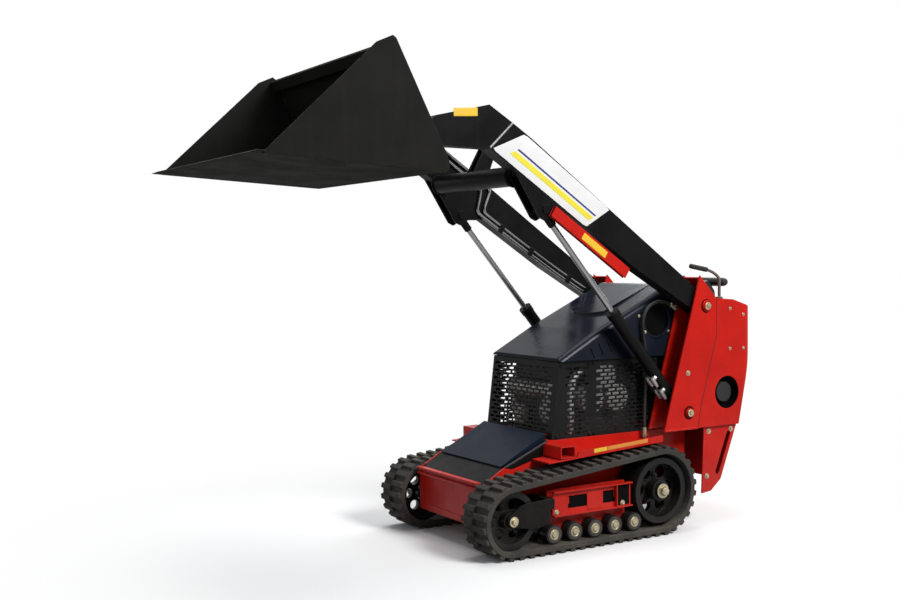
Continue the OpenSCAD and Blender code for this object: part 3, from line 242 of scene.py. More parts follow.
# colour goes over to deep in patches and to worn at edges; rough: from, to; wear: width, amount;
# dust: reach, amount, settled; uneven: scale, streaks; grain: scale, depth
finishColumns = ("colour", "deep", "worn", "rough", "wear", "dust", "uneven", "grain")
stripeShare = ((0.3, 0.42), (0.001, 0.2), (0.5, 0.2, 0.1), (14, 0.2), (500, 0.00005), {"coat": 0.2})
finishLooks = {
    "red_paint": ((0.56, 0.011, 0.005), (0.45, 0.008, 0.004), (0.2, 0.06, 0.045), (0.26, 0.42),
        (0.004, 0.3), (0.5, 0.16, 0.05), (5, 0.25), (420, 0.00012), {"coat": 0.03, "specular": 0.13}),
    "black_paint": ((0.0036, 0.0036, 0.004), (0.006, 0.0059, 0.006), (0.16, 0.155, 0.15), (0.32, 0.46),
        (0.004, 0.35), (0.4, 0.1, 0.01), (6, 0.35), (380, 0.00002), {"specular": 0.06}),
    "wheel_black": ((0.0062, 0.0062, 0.0066), (0.0105, 0.01, 0.0095), (0.14, 0.13, 0.12), (0.22, 0.45),
        (0.004, 0.35), (0.36, 0.1, 0.03), (9, 0.2), (300, 0.0002), {"coat": 0.03, "specular": 0.1}),
    "bucket_steel": ((0.0125, 0.0123, 0.0112), (0.019, 0.0185, 0.0165), (0.16, 0.155, 0.145), (0.72, 0.9),
        (0.005, 0.55), (0.5, 0.1, 0.16), (4, 0.5), (240, 0.0003), {"specular": 0.03}),
    "zinc_plate": ((0.46, 0.4, 0.25), (0.3, 0.27, 0.2), (0.55, 0.53, 0.5), (0.26, 0.48), (0.002, 0.4),
        (0.4, 0.5, 0.08), (30, 0.2), (500, 0.0001), {"metal": 1}),
    "chrome_rod": ((0.25, 0.25, 0.255), (0.2, 0.2, 0.205), None, (0.22, 0.28), None, (0.4, 0.2, 0),
        (3, 0.2), (200, 0.000005), {"metal": 1}),
    # the step's black carries a painted bluish reflection in its colour
    "step_paint": ((0.0045, 0.009, 0.02), (0.0065, 0.0115, 0.024), (0.15, 0.15, 0.155), (0.3, 0.42),
        (0.004, 0.4), (0.5, 0.03, 0.01), (5, 0.2), (380, 0.00006), {"specular": 0.05}),
    # the hood's black carries a painted bluish reflection in its colour too
    "hood_plastic": ((0.0055, 0.008, 0.015), (0.008, 0.0105, 0.018), (0.07, 0.07, 0.072), (0.14, 0.28),
        (0.006, 0.15), (0.5, 0.1, 0.02), (4, 0.2), (260, 0.00002), {"coat": 0.02, "specular": 0.09}),
    "panel_plastic": ((0.014, 0.014, 0.0145), (0.021, 0.021, 0.021), (0.06, 0.06, 0.06), (0.42, 0.58),
        (0.004, 0.3), (0.5, 0.2, 0.18), (8, 0.2), (700, 0.00035), {"specular": 0.2}),
    "pad_foam": ((0.017, 0.017, 0.018), (0.026, 0.026, 0.026), (0.05, 0.05, 0.05), (0.55, 0.7),
        (0.004, 0.2), (0.5, 0.2, 0.15), (9, 0.2), (520, 0.0006), {"specular": 0.2}),
    "screen_steel": ((0.0062, 0.0062, 0.0066), (0.01, 0.01, 0.01), (0.13, 0.13, 0.125), (0.3, 0.46),
        (0.002, 0.35), (0.6, 0.1, 0.05), (7, 0.3), (400, 0.00012), {"specular": 0.08}),
    "engine_cast": ((0.1, 0.1, 0.1), (0.055, 0.054, 0.052), (0.3, 0.3, 0.3), (0.4, 0.62), (0.005, 0.5),
        (0.7, 0.2, 0.25), (10, 0.3), (260, 0.0007), {"metal": 0.6}),
    "lever_steel": ((0.14, 0.135, 0.12), (0.1, 0.095, 0.085), (0.3, 0.29, 0.27), (0.28, 0.4), (0.003, 0.4),
        (0.5, 0.1, 0.1), (12, 0.2), (500, 0.0002), {"metal": 0.8}),
    "track_rubber": ((0.026, 0.0255, 0.0245), (0.04, 0.038, 0.035), (0.085, 0.08, 0.072), (0.62, 0.82),
        (0.006, 0.5), (0.6, 0.34, 0.16), (11, 0.2), (330, 0.0006), {"specular": 0.12}),
    "rollerRubber": ((0.04, 0.038, 0.035), (0.052, 0.05, 0.046), (0.09, 0.085, 0.08), (0.5, 0.7),
        (0.001, 0.3), (0.5, 0.2, 0), (20, 0.2), (400, 0.0002), {"specular": 0.15}),
    "hoseRubber": ((0.012, 0.012, 0.012), (0.02, 0.02, 0.019), (0.06, 0.06, 0.058), (0.42, 0.6),
        (0.001, 0.2), (0.6, 0.2, 0.15), (20, 0.2), (600, 0.0003), {"specular": 0.2}),
    "castBright": ((0.3, 0.295, 0.28), (0.22, 0.215, 0.21), (0.45, 0.45, 0.44), (0.42, 0.58), (0.002, 0.3),
        (0.5, 0.1, 0.15), (14, 0.2), (320, 0.0003), {"metal": 0.7}),
    "engineBright": ((0.8, 0.78, 0.73), (0.55, 0.53, 0.5), (0.85, 0.84, 0.82), (0.3, 0.5), (0.002, 0.3),
        (0.5, 0.1, 0.15), (14, 0.2), (320, 0.0003), {"metal": 0.25}),
    # painted shade: a near-black for sheets and linings where only shade shows, and a dark red for the shade
    # round the pin ends
    "paintedShadeBlack": ((0.003, 0.003, 0.0032), (0.0042, 0.0042, 0.0044), None, (0.7, 0.85), None, (0.3, 0.02, 0),
        (8, 0.2), (300, 0.0001), {"specular": 0.03}),
    "shadeRed": ((0.075, 0.003, 0.0025), (0.06, 0.0026, 0.0022), None, (0.6, 0.8), None, (0.3, 0.05, 0),
        (8, 0.2), (300, 0.0001), {"specular": 0.05}),
    "signWhite": ((0.78, 0.78, 0.77), (0.7, 0.7, 0.69), (0.55, 0.55, 0.54), (0.28, 0.4), (0.001, 0.2),
        (0.4, 0.1, 0.1), (9, 0.2), (500, 0.00005), {"coat": 0.2}),
    "stripeYellow": ((0.8, 0.5, 0.015), (0.72, 0.44, 0.012), (0.6, 0.4, 0.1), *stripeShare),
    "stripeLemon": ((0.78, 0.68, 0.03), (0.72, 0.62, 0.025), (0.6, 0.55, 0.2), *stripeShare),
    "stripeOrange": ((0.7, 0.23, 0.012), (0.6, 0.19, 0.01), (0.5, 0.25, 0.1), *stripeShare),
    "stripeBlue": ((0.012, 0.025, 0.18), (0.01, 0.022, 0.15), (0.1, 0.15, 0.3), (0.3, 0.42), (0.001, 0.2),
        (0.4, 0.1, 0.1), (14, 0.2), (500, 0.00005), {"coat": 0.2}),
}


# finish: patches of two colours, rubbed edges over them and dust over all, rougher where dusty
def makeFinish(name, row):
    *values, own = row
    look = {**finishBase, **dict(zip(finishColumns, values)), **own}
    material = bpy.data.materials.new(name)
    material.use_nodes = True
    tree = material.node_tree
    shader = tree.nodes["Principled BSDF"]
    for label, part in (("Metallic", "metal"), ("Coat Weight", "coat"), ("Coat Roughness", "coatRough"),
                        ("Specular IOR Level", "specular")):
        shader.inputs[label].default_value = look[part]
    tone = useGroup(tree, uneven, look["uneven"]).outputs["Value"]
    dirt = useGroup(tree, dust, look["dust"]).outputs["Mask"]
    scale, depth = look["grain"]
    relief = useGroup(tree, grain, (scale,)).outputs["Height"]
    bump = addNode(tree, "Bump", {"Height": relief, "Strength": look["bump"], "Distance": depth})
    base = mixColour(tree, tone, (*look["colour"], 1), (*look["deep"], 1))
    if look["wear"]:  # None where no edges are rubbed
        rub = useGroup(tree, edgeRub, look["wear"])
        base = mixColour(tree, rub.outputs["Mask"], base, (*look["worn"], 1))
        tree.links.new(rub.outputs["Normal"], bump.inputs["Normal"])
    tree.links.new(mixColour(tree, dirt, base, (*look["dustColour"], 1)), shader.inputs["Base Color"])
    rough = spread(tree, tone, 0.0, 1.0, *look["rough"])
    rough = work(tree, "ADD", rough, work(tree, "MULTIPLY", dirt, look["dustRough"]), clamp=True)
    tree.links.new(rough, shader.inputs["Roughness"])
    tree.links.new(bump.outputs[0], shader.inputs["Normal"])
    return material


finishes = {name: makeFinish(name, row) for name, row in finishLooks.items()}
nodeFinish = {"step_cover": "step_paint"}  # its black is tinted blue, a painted bluish reflection over the black paint
for row in frame["record"]["subparts"]:
    node = nodes[row["node"]]
    node.data.materials.clear()
    node.data.materials.append(finishes[nodeFinish.get(row["node"], row["material_slot"])])
print("finishes made:", len(finishes))

mergeWithin = 1e-6


# one mesh from any number of point grids, each copies x rows x columns x 3; columns close
# on themselves, and the first and last rows are drawn together to a point to close the ends
def gridObject(name, grids, closeEnds=True):
    points, quads, start = [], [], 0
    for grid in grids:
        grid = np.asarray(grid, float)
        if closeEnds:
            first, last = (row.mean(2, keepdims=True) + 0 * row for row in (grid[:, :1], grid[:, -1:]))
            grid = np.concatenate((first, grid, last), 1)
        copies, rows, columns = grid.shape[:3]
        index = start + np.arange(copies * rows * columns).reshape(copies, rows, columns)
        nextRow = np.roll(index, -1, 1)
        quad = np.stack((index, np.roll(index, -1, 2), np.roll(nextRow, -1, 2), nextRow), -1)[:, :-1]
        points.append(grid.reshape(-1, 3))
        quads.append(quad.reshape(-1, 4))
        start += copies * rows * columns
    points, quads = np.concatenate(points), np.concatenate(quads)
    mesh = bpy.data.meshes.new(name)
    mesh.vertices.add(len(points))
    mesh.vertices.foreach_set("co", points.ravel().astype(np.float32))
    mesh.loops.add(quads.size)
    mesh.loops.foreach_set("vertex_index", quads.ravel().astype(np.int32))
    mesh.polygons.add(len(quads))
    mesh.polygons.foreach_set("loop_start", np.arange(0, quads.size, 4, dtype=np.int32))
    mesh.update(calc_edges=True)
    built = bmesh.new()
    built.from_mesh(mesh)
    bmesh.ops.remove_doubles(built, verts=built.verts, dist=mergeWithin)
    if closeEnds:
        bmesh.ops.recalc_face_normals(built, faces=built.faces)
    built.to_mesh(mesh)
    built.free()
    mesh.polygons.foreach_set("use_smooth", np.ones(len(mesh.polygons), bool))
    piece = bpy.data.objects.new(name, mesh)
    scene.collection.objects.link(piece)
    return piece


# a piece from its grids, in its finish, riding on its body, creased where faces turn by more than sharp
def fit(name, grids, finish, body="root", sharp=30, closeEnds=True):
    piece = gridObject(name, grids, closeEnds)
    piece.data.materials.append(finishes[finish])
    if sharp:
        piece.data.set_sharp_from_angle(angle=radians(sharp))
    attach(piece, body)
    return piece


# even angles once round
def around(count):
    return np.linspace(0, 2 * np.pi, count, endpoint=False)


stageLook = {
    "floorColour": (0.88, 0.88, 0.878, 1),
    "floorRadius": 30.0,
    "floorRings": (0.02, 1.0, 24),  # from, to and count, before they are squared
    "floorSides": 96,
    "floorRough": 0.75,
    "floorSpecular": 0.2,
    "fade": (0.85, 2.3),  # where the floor starts and ends going over to the white behind it
    "bounceColour": (0.16, 0.16, 0.16, 1),  # what the floor throws back on the machine
    "white": (1, 1, 1, 1),
    "fillColour": (0.93, 0.96, 1.0, 1),
    "fill": 0.34,
    "aim": (0, 0, 0.8),
    "lamps": {
        "side": {"place": (-1.5, 5.2, 4.8), "size": 2.2, "watts": 430},
        "front": {"place": (5.2, 0.8, 3.2), "size": 2.4, "watts": 9},
        "over": {"place": (0.2, -0.6, 5.6), "size": 3.4, "watts": 150},
        "rear": {"place": (-4.6, -3.2, 3.4), "size": 3.0, "watts": 110},
    },
}


# world: white to the camera and in what shines, and a dim cool fill for all other light
def makeWorld(look):
    world = bpy.data.worlds.new("studio")
    scene.world = world
    world.use_nodes = True
    tree = world.node_tree
    tree.nodes.clear()
    seen = addNode(tree, "LightPath").outputs
    either = work(tree, "MAXIMUM", seen["Is Camera Ray"], seen["Is Transmission Ray"])
    either = work(tree, "MAXIMUM", either, seen["Is Glossy Ray"])
    fill = addNode(tree, "Background", {"Color": look["fillColour"], "Strength": look["fill"]})
    white = addNode(tree, "Background", {"Color": look["white"], "Strength": 1.0})
    both = addNode(tree, "MixShader", {0: either, 1: fill.outputs[0], 2: white.outputs[0]})
    tree.links.new(both.outputs[0], addNode(tree, "OutputWorld").inputs[0])


# floor: a disc, radius along the rows and angle along the columns, pale where it is seen and
# darker in what it throws back, going over to plain white with distance
def makeFloor(look):
    reach = np.linspace(*look["floorRings"]) ** 2 * look["floorRadius"]
    radius, angle = np.meshgrid(reach, around(look["floorSides"]), indexing="ij")
    disc = np.stack((radius * np.cos(angle), radius * np.sin(angle), 0 * radius), -1)
    floor = gridObject("floor", [disc[None]], closeEnds=False)
    material = bpy.data.materials.new("paleFloor")
    material.use_nodes = True
    tree = material.node_tree
    shader = tree.nodes["Principled BSDF"]
    shader.inputs["Roughness"].default_value = look["floorRough"]
    shader.inputs["Specular IOR Level"].default_value = look["floorSpecular"]
    seen = addNode(tree, "LightPath").outputs
    straight = work(tree, "MAXIMUM", seen["Is Camera Ray"], seen["Is Glossy Ray"])
    colour = mixColour(tree, straight, look["bounceColour"], look["floorColour"])
    tree.links.new(colour, shader.inputs["Base Color"])
    place = addNode(tree, "TexCoord").outputs["Object"]
    length = addNode(tree, "VectorMath", {0: place}, operation="LENGTH").outputs["Value"]
    glow = addNode(tree, "Emission", {"Color": look["white"], "Strength": 1.0})
    away = work(tree, "MULTIPLY", spread(tree, length, *look["fade"]), seen["Is Camera Ray"])
    both = addNode(tree, "MixShader", {0: away, 1: shader.outputs[0], 2: glow.outputs[0]})
    tree.links.new(both.outputs[0], tree.nodes["Material Output"].inputs["Surface"])
    floor.data.materials.append(material)


# lamps: square panels turned to one point on the machine
def makeLamps(look):
    for name, lamp in look["lamps"].items():
        data = bpy.data.lights.new(name, "AREA")
        data.energy, data.size = lamp["watts"], lamp["size"]
        light = bpy.data.objects.new(name, data)
        scene.collection.objects.link(light)
        light.location = lamp["place"]
        ahead = Vector(look["aim"]) - Vector(lamp["place"])
        light.rotation_euler = ahead.to_track_quat("-Z", "Y").to_euler()


makeWorld(stageLook)
makeFloor(stageLook)
makeLamps(stageLook)
print("stage set")


# an axis and two directions square to it
def squareTo(axis):
    axis = np.asarray(axis, float) / np.linalg.norm(axis)
    side = np.cross(axis, (0, 0, 1) if abs(axis[2]) < 0.9 else (1, 0, 0))
    side /= np.linalg.norm(side)
    return axis, side, np.cross(axis, side)


# turned form: a (radius, along) profile swept round an axis at each centre
def turned(profile, centres, axis, count=24, twist=0.0):
    axis, side, over = squareTo(axis)
    profile, centres = np.asarray(profile, float), np.atleast_2d(np.asarray(centres, float))
    angle = twist + around(count)
    ring = np.cos(angle)[:, None] * side + np.sin(angle)[:, None] * over
    shape = profile[:, None, :1] * ring[None] + profile[:, None, 1:] * axis
    return centres[:, None, None] + shape[None]


# bolt: a round washer under a six-sided head whose top corners are turned off
def bolts(places, axis, across, sunk):
    r = across / sqrt(3)
    bore, rim, edge, top, seat = 0.6 * r, 1.55 * r, 0.0016, 0.0022, 0.001
    washer = [(bore, -sunk), (rim, -sunk), (rim, edge), (1.45 * r, top), (bore, top)]
    head = [(0.9 * r, seat), (r, seat), (r, 0.5 * across), (0.86 * r, 0.6 * across), (0.5 * r, 0.61 * across)]
    return [turned(washer, places, axis, count=20), turned(head, places, axis, count=6, twist=0.3)]


# how far out the rounded rectangle |u|^n + |v|^n = 1 lies in a direction
def squared(c, s, power):
    return (np.abs(c) ** power + np.abs(s) ** power) ** (-1 / power)


panelLook = {"rings": (0.0, 0.5, 0.9, 1.0, 1.0, 0.5), "ease": 0.7, "sunk": 0.0006}


# plate: a rounded rectangle laid over four corners by straight blending, raised by its thickness
# along the normal and a little sunk in what carries it
def panel(corners, normal, thick=0.0008, power=60.0, count=96):
    corners, normal = np.asarray(corners, float), np.asarray(normal, float) / np.linalg.norm(normal)
    angle = around(count) + pi / count
    c, s = np.cos(angle), np.sin(angle)
    rings = np.array(panelLook["rings"])[:, None] * squared(c, s, power)
    u, v = (rings * c + 1) / 2, (rings * s + 1) / 2
    shares = ((1 - u) * (1 - v), u * (1 - v), u * v, (1 - u) * v)
    flat = sum(share[..., None] * corner for share, corner in zip(shares, corners))
    sunk = -panelLook["sunk"]
    lift = np.array([thick, thick, thick, thick * panelLook["ease"], sunk, sunk])
    return (flat + lift[:, None, None] * normal)[None]


# round bar carried along a path; ripple swells the radius along it, as in a weld's scales
def carried(path, radius, sides=14, reference=(0, 1, 0), ripple=0.0, waves=0):
    path = np.asarray(path, float)
    tangent = np.gradient(path, axis=0)
    tangent /= np.linalg.norm(tangent, axis=1)[:, None]
    side = np.cross(tangent, reference)
    side /= np.linalg.norm(side, axis=1)[:, None]
    over = np.cross(side, tangent)
    along = np.linspace(0, 1, len(path))
    swell = radius * (1 + ripple * np.abs(np.sin(np.pi * waves * along)))
    angle = around(sides)
    ring = np.cos(angle)[None, :, None] * side[:, None] + np.sin(angle)[None, :, None] * over[:, None]
    return (path[:, None] + swell[:, None, None] * ring)[None]


# corner cutting: each span gives two points at a quarter and three quarters, ends kept
def eased(points, rounds=4):
    points = np.asarray(points, float)
    for _ in range(rounds):
        near, far = 0.75 * points[:-1] + 0.25 * points[1:], 0.25 * points[:-1] + 0.75 * points[1:]
        points = np.concatenate((points[:1], np.stack((near, far), 1).reshape(-1, 3), points[-1:]))
    return points


# how far along a path each of its points lies
def lengths(path):
    return np.concatenate(([0], np.cumsum(np.linalg.norm(np.diff(path, axis=0), axis=1))))


# a path drawn again with count points, even over its knots
def resampled(points, count, knots=None):
    points = np.asarray(points, float)
    knots = np.linspace(0, 1, len(points)) if knots is None else knots
    share = np.linspace(0, knots[-1], count)
    return np.stack([np.interp(share, knots, column) for column in points.T], -1)


# points given in millimetres
def mm(*points):
    return np.array(points) / 1000


# (x, z) points set out at y on one side of the machine
def onSide(points, y):
    return np.array([atMachine(x, y, z) for x, z in points])


# the same on its left and right, each with the direction that looks outwards
def bothSides(points, y):
    return [(onSide(points, k * y), (0, k, 0)) for k in (1, -1)]


def sideBolts(places, y, across, sunk):
    return [grid for at, axis in bothSides(places, y) for grid in bolts(at, axis, across, sunk)]


def sideTurned(profile, places, y, count):
    return [turned(profile, at, axis, count) for at, axis in bothSides(places, y)]


def sidePanels(points, y, **plate):
    return [panel(corners, axis, **plate) for corners, axis in bothSides(points, y)]


# four corners from the lowest and the highest
def rectangle(low, high):
    (a, b), (c, d) = low, high
    return ((a, b), (c, b), (c, d), (a, d))


armFrame = {"pivot": (-0.3, 1.000), "angle": 33.5, "outer": 0.36, "inner": 0.29}


# a place on an arm: u along it from its pivot, v square to it
def onArm(u, v, y):
    a, (x, z) = radians(armFrame["angle"]), armFrame["pivot"]
    return atMachine(x + u * cos(a) - v * sin(a), y, z + u * sin(a) + v * cos(a))


armSign = {
    "corners": mm((757, -79.5), (1322, -84), (1225, 58.5), (690, 54.5)),  # along and across the arm
    "thick": 0.0015,
    "stripes": {"stripeLemon": (0.23, 0.41), "stripeBlue": (0.47, 0.53)},  # from and to, across the sign
    "ends": (0.03, 0.9),  # from and to, along the sign
    "seat": 0.0014,  # the stripes' height over the arm
    "stripeThick": 0.0006,
}


# sign: a plate over four corners on the arm, its stripes laid between shares of its sides
def makeArmSign(look):
    corners = np.array([onArm(u, v, armFrame["outer"]) for u, v in look["corners"]])
    fit("armSign", [panel(corners, (0, 1, 0), thick=look["thick"])], "signWhite", "arm", sharp=40)
    ends = np.array(look["ends"])[:, None]
    for finish, span in look["stripes"].items():
        across = np.array(span)[:, None]
        near = corners[0] + (corners[3] - corners[0]) * across
        far = corners[1] + (corners[2] - corners[1]) * across
        bottom, top = near[0] + (far[0] - near[0]) * ends, near[1] + (far[1] - near[1]) * ends
        strip = np.array((bottom[0], bottom[1], top[1], top[0])) + (0, look["seat"], 0)
        plate = panel(strip, (0, 1, 0), thick=look["stripeThick"], power=40.0)
        fit("armSign-" + finish, [plate], finish, "arm", sharp=40)


makeArmSign(armSign)

stickers = {
    "neckSticker": {"body": "arm", "finish": "stripeYellow", "face": 0.36,
                    "corners": mm((1030, 1778), (918, 1785), (918, 1819), (1030, 1811))},
    "fenderStrip": {"body": "root", "finish": "stripeOrange", "face": 0.38,
                    "corners": mm((276, 395.5), (50, 409.2), (50, 426.2), (276, 412.5))},
    "fenderStripEnd": {"body": "root", "finish": "stripeYellow", "face": 0.38,
                       "corners": mm((350, 391), (279, 395.3), (279, 412.3), (350, 408))},
}
lockSticker = {"back": 0.02, "half": (0.075, 0.015)}  # back from the lock's middle, half its length and width


# stickers: plates over four corners, and one on the lock's outer face, square to the arm
def makeStickers(looks, lock):
    for name, look in looks.items():
        plate = panel(onSide(look["corners"], look["face"]), (0, 1, 0))
        fit(name, [plate], look["finish"], look["body"], sharp=40)
    low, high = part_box("cylinder_lock")
    middle = (low + high) / 2
    a = radians(armFrame["angle"])
    along, across = np.array((cos(a), 0, sin(a))), np.array((-sin(a), 0, cos(a)))
    centre = np.array((middle.x, high.y, middle.z)) - lock["back"] * along
    length, width = lock["half"]
    corners = [centre + i * length * along + k * width * across for i, k in rectangle((-1, -1), (1, 1))]
    fit("lockSticker", [panel(corners, (0, 1, 0))], "stripeYellow", "arm", sharp=40)


makeStickers(stickers, lockSticker)
print("signs and stickers fitted")

rollerPlaces = [(x, 0.0753) for x in np.linspace(0.146, 0.578, 5)]
sideLook = {
    "towerBolts": {"on": "tower_left", "across": 0.014, "places": ((-0.189, 0.701),)},
    "bodyBolts": {"on": "rear_body", "across": 0.009,
                  "places": mm((-450, 985), (-450, 800), (-535, 955), (-535, 800))},
    "guardBolts": {"on": "rear_guard", "across": 0.014, "places": mm((-470, 425), (-330, 425), (-318, 220))},
    "screenBolts": {"on": "side_screen_left", "across": 0.012, "finish": "screen_steel",
                    "places": mm((-106, 452), (245, 452), (272, 452), (450, 452),
                                 (-106, 760), (245, 760), (272, 760), (425, 760))},
    "guideBolts": {"on": "track_guide_left", "inset": 0.016, "across": 0.014,
                   "places": mm((560, 163), (205, 163))},
    "rollerHubs": {"on": "rollers_left", "inset": 0.006, "places": rollerPlaces, "count": 32,
                   "profile": mm((22.5, -1), (22.5, 2), (19.5, 3), (18, 1.5), (14.5, 1.5), (13.5, 4.5),
                                 (11.5, 7.5), (4, 8))},
    "rollerFaces": {"on": "rollers_left", "inset": 0.006, "places": rollerPlaces, "count": 40,
                    "finish": "rollerRubber",
                    "profile": mm((22.5, -1), (34.5, -1), (34.5, 1.2), (33.5, 2), (25, 2), (24, 0.5),
                                  (22.5, 0.5))},
}


# trim on both outer faces of a node: bolts where a row has a size across flats, else turned forms
def sidePieces(looks):
    for name, look in looks.items():
        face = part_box(look["on"])[1].y - look.get("inset", 0.0)
        if "across" in look:
            grids = sideBolts(look["places"], face, look["across"], look.get("sunk", 0.001))
        else:
            grids = sideTurned(look["profile"], look["places"], face, look["count"])
        fit(name, grids, look.get("finish", "zinc_plate"), look.get("body", "root"))


sidePieces(sideLook)

hubLook = {
    "studs": {"count": 5, "radius": 0.062, "turn": 0.4, "out": 0.021, "across": 0.015, "sunk": 0.014},
    "driveNut": 0.036,
    "idlerBolt": 0.024,
    "sunk": 0.002,
}


# a ring of studs in each drive wheel, and a nut on each axle
def makeHubs(look):
    studs = look["studs"]
    low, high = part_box("drive_wheel_left")
    height, web, r = (low.z + high.z) / 2, (low.y + high.y) / 2, studs["radius"]
    ring = [(r * cos(a), height + r * sin(a)) for a in around(studs["count"]) + studs["turn"]]
    heads = sideBolts(ring, web + studs["out"], studs["across"], studs["sunk"])
    fit("wheelStuds", heads, "wheel_black")
    nuts = sideBolts([(0.0, height)], high.y, look["driveNut"], look["sunk"])
    low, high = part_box("idler_left")
    axle = ((low.x + high.x) / 2 + midX, (low.z + high.z) / 2)
    nuts += sideBolts([axle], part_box("idler_fork_left")[1].y, look["idlerBolt"], look["sunk"])
    fit("hubNuts", nuts, "zinc_plate")


makeHubs(hubLook)

pinPlaces = mm((-300, 1000), (-195, 522))
pinLook = {
    # dark red rings round the pin ends: painted shade of the recesses they sit in
    "pinRings": {"on": "tower_left", "places": pinPlaces, "finish": "shadeRed", "count": 48,
                 "profile": mm((4, -0.5), (31, -0.5), (31, 0.6), (4, 0.6))},
    "pinBolts": {"on": "tower_pins", "places": pinPlaces, "across": 0.019, "sunk": 0.002},
}
sidePieces(pinLook)

wellLook = {"place": (-0.431, 0.334, 0.6),
            "cup": mm((49, 0), (74.5, 0), (74.5, 44.5), (73.2, 44.5), (73.2, 2), (49, 2))}


# dark turned cup lining the filler's opening, painted shade inside the hole
def makeWell(look):
    fit("fillerWell", [turned(look["cup"], atMachine(*look["place"]), (0, 1, 0), count=64)], "paintedShadeBlack")


makeWell(wellLook)

guideLook = {
    "web": {"from": 0.386, "to": 0.392, "edge": 0.4075},  # the channel's sheet and the edge of its flanges
    "windows": mm((236, 170), (504, 230)),
    "behind": 0.0009,
    "middle": mm((313, 156), (400, 244)),
    "middleThick": 0.001,
    "open": mm((167.5, 155.5), (243, 244.5)),
    "rib": (0.244, 0.155, 0.245),
    "ribThick": 0.0045,
}


# dark sheets behind the guide's windows and past its rib, painted shade where the guide stands open, a plate
# between the windows, and the rib
def makeGuides(look):
    web = look["web"]
    dark = sidePanels(rectangle(*look["windows"]), web["from"] - look["behind"])
    dark += sidePanels(rectangle(*look["open"]), web["to"])
    red = sidePanels(rectangle(*look["middle"]), web["to"], thick=look["middleThick"])
    x, low, high = look["rib"]
    for k in (1, -1):
        rib = [atMachine(x, k * y, z) for y, z in rectangle((web["to"], low), (web["edge"], high))]
        red.append(panel(rib, (1, 0, 0), thick=look["ribThick"]))
    # the near-black sheets are painted shade in the guide's openings
    fit("guideBacks", dark, "paintedShadeBlack")
    fit("guideRibs", red, "red_paint")


makeGuides(guideLook)
print("bolts, hubs, wells and guides fitted")

weldLook = {
    "radius": 0.0042,
    "ripple": 0.28,
    "every": 0.006,  # between two scales
    "step": 0.0015,
    "neck": mm((1298, 60), (1333, -88)),  # along and across the arm
    "socket": (1.14, -0.084, 0.043),  # centre and radius, round the crossmember's end
    "socketSides": 60,
    "sunk": 0.001,
    "tower": mm((-50, 449), (-248, 449)),
}


# bead: a bar along the path, its radius swelling once for each scale
def bead(path, look):
    length = lengths(path)[-1]
    fine = resampled(path, max(int(length / look["step"]), 12))
    waves = round(length / look["every"])
    return carried(fine, look["radius"], sides=8, ripple=look["ripple"], waves=waves)


# beads at the necks (the left outer one in a bright metal finish, a painted highlight along that seam), round
# the crossmember's ends and along the towers' feet
def makeWelds(look):
    seams = []
    u, v, r = look["socket"]
    turns = np.linspace(0, 2 * np.pi, look["socketSides"])
    for k in (1, -1):
        for y in (armFrame["outer"], armFrame["inner"]):
            seams.append(bead([onArm(*at, k * y) for at in look["neck"]], look))
        inner = k * (armFrame["inner"] - look["sunk"])
        seams.append(bead([onArm(u + r * cos(a), v + r * sin(a), inner) for a in turns], look))
    fit("armWelds", seams[1:], "black_paint", "arm", sharp=0)
    # the bright bead is a painted highlight along the left outer neck seam
    fit("neckSeam", seams[:1], "castBright", "arm", sharp=0)
    feet = [bead(path, look) for path, axis in bothSides(look["tower"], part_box("tower_left")[1].y)]
    fit("towerWelds", feet, "red_paint", sharp=0)


makeWelds(weldLook)
print("welds laid")

padLook = {
    "power": 5.0,
    "pull": 0.035,
    "sides": 180,
    "rings": ((0.02, 0.9, 26), (0.92, 1.0, 10)),
    "backRings": (0.985, 0.5, 0.02),
    "channel": {"deep": 0.003, "apart": 0.09, "wide": 2e-5, "within": 0.82},
    "crown": 0.62,  # share of the pad's depth
    "clear": 0.0005,
    "seat": (0.0041, 0.0045),  # front and back surface, from the body
    "shares": {"front": 0.99, "back": 0.98, "piping": 0.985},
    "piping": 0.0035,
}


# pad: an outline |y|^n + |z|^n = 1 whose sides pull in between the corners, crowned to the rear
# as (1 - r^4)^0.5, sewn in even channels, and flat where it rests on the body
def makePad(look):
    low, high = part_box("thigh_pad")
    middle = np.array((low + high) / 2)
    half = np.array(high - low) / 2
    angle = around(look["sides"])
    c, s = np.cos(angle), np.sin(angle)
    size = squared(c, s, look["power"]) * (1 - look["pull"] * np.cos(2 * angle) ** 2)

    def outline(x, rings, share):
        y = middle[1] + rings * size * c * half[1] * look["shares"][share]
        z = middle[2] + rings * size * s * half[2] * look["shares"][share]
        return np.stack(np.broadcast_arrays(x, y, z), -1)

    rings = np.concatenate([np.linspace(*span) for span in look["rings"]])[:, None]
    crown = (1 - np.clip(rings, 0, 1) ** 4) ** 0.5
    sewn = look["channel"]
    off = (rings * size * c * half[1]) % sewn["apart"] - sewn["apart"] / 2
    channel = sewn["deep"] * np.exp(-off ** 2 / sewn["wide"]) * (rings < sewn["within"])
    frontSeat, backSeat = look["seat"]
    slope = high.x - frontSeat - low.x
    front = outline(low.x + look["clear"] + (1 - crown) * slope * look["crown"] + channel, rings, "front")
    back = outline(high.x - backSeat, np.array(look["backRings"])[:, None], "back")
    pad = fit("thighCushion", [np.concatenate((front, back))[None]], "pad_foam", sharp=0)
    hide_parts("thigh_pad")
    edge = outline(low.x + look["clear"] + slope * look["crown"], 1.0, "piping")
    piping = carried(np.concatenate((edge, edge[:1])), look["piping"], sides=8, reference=(1, 0, 0))
    fit("padPiping", [piping], "panel_plastic", sharp=0, closeEnds=False)


makePad(padLook)
print("pad sewn")

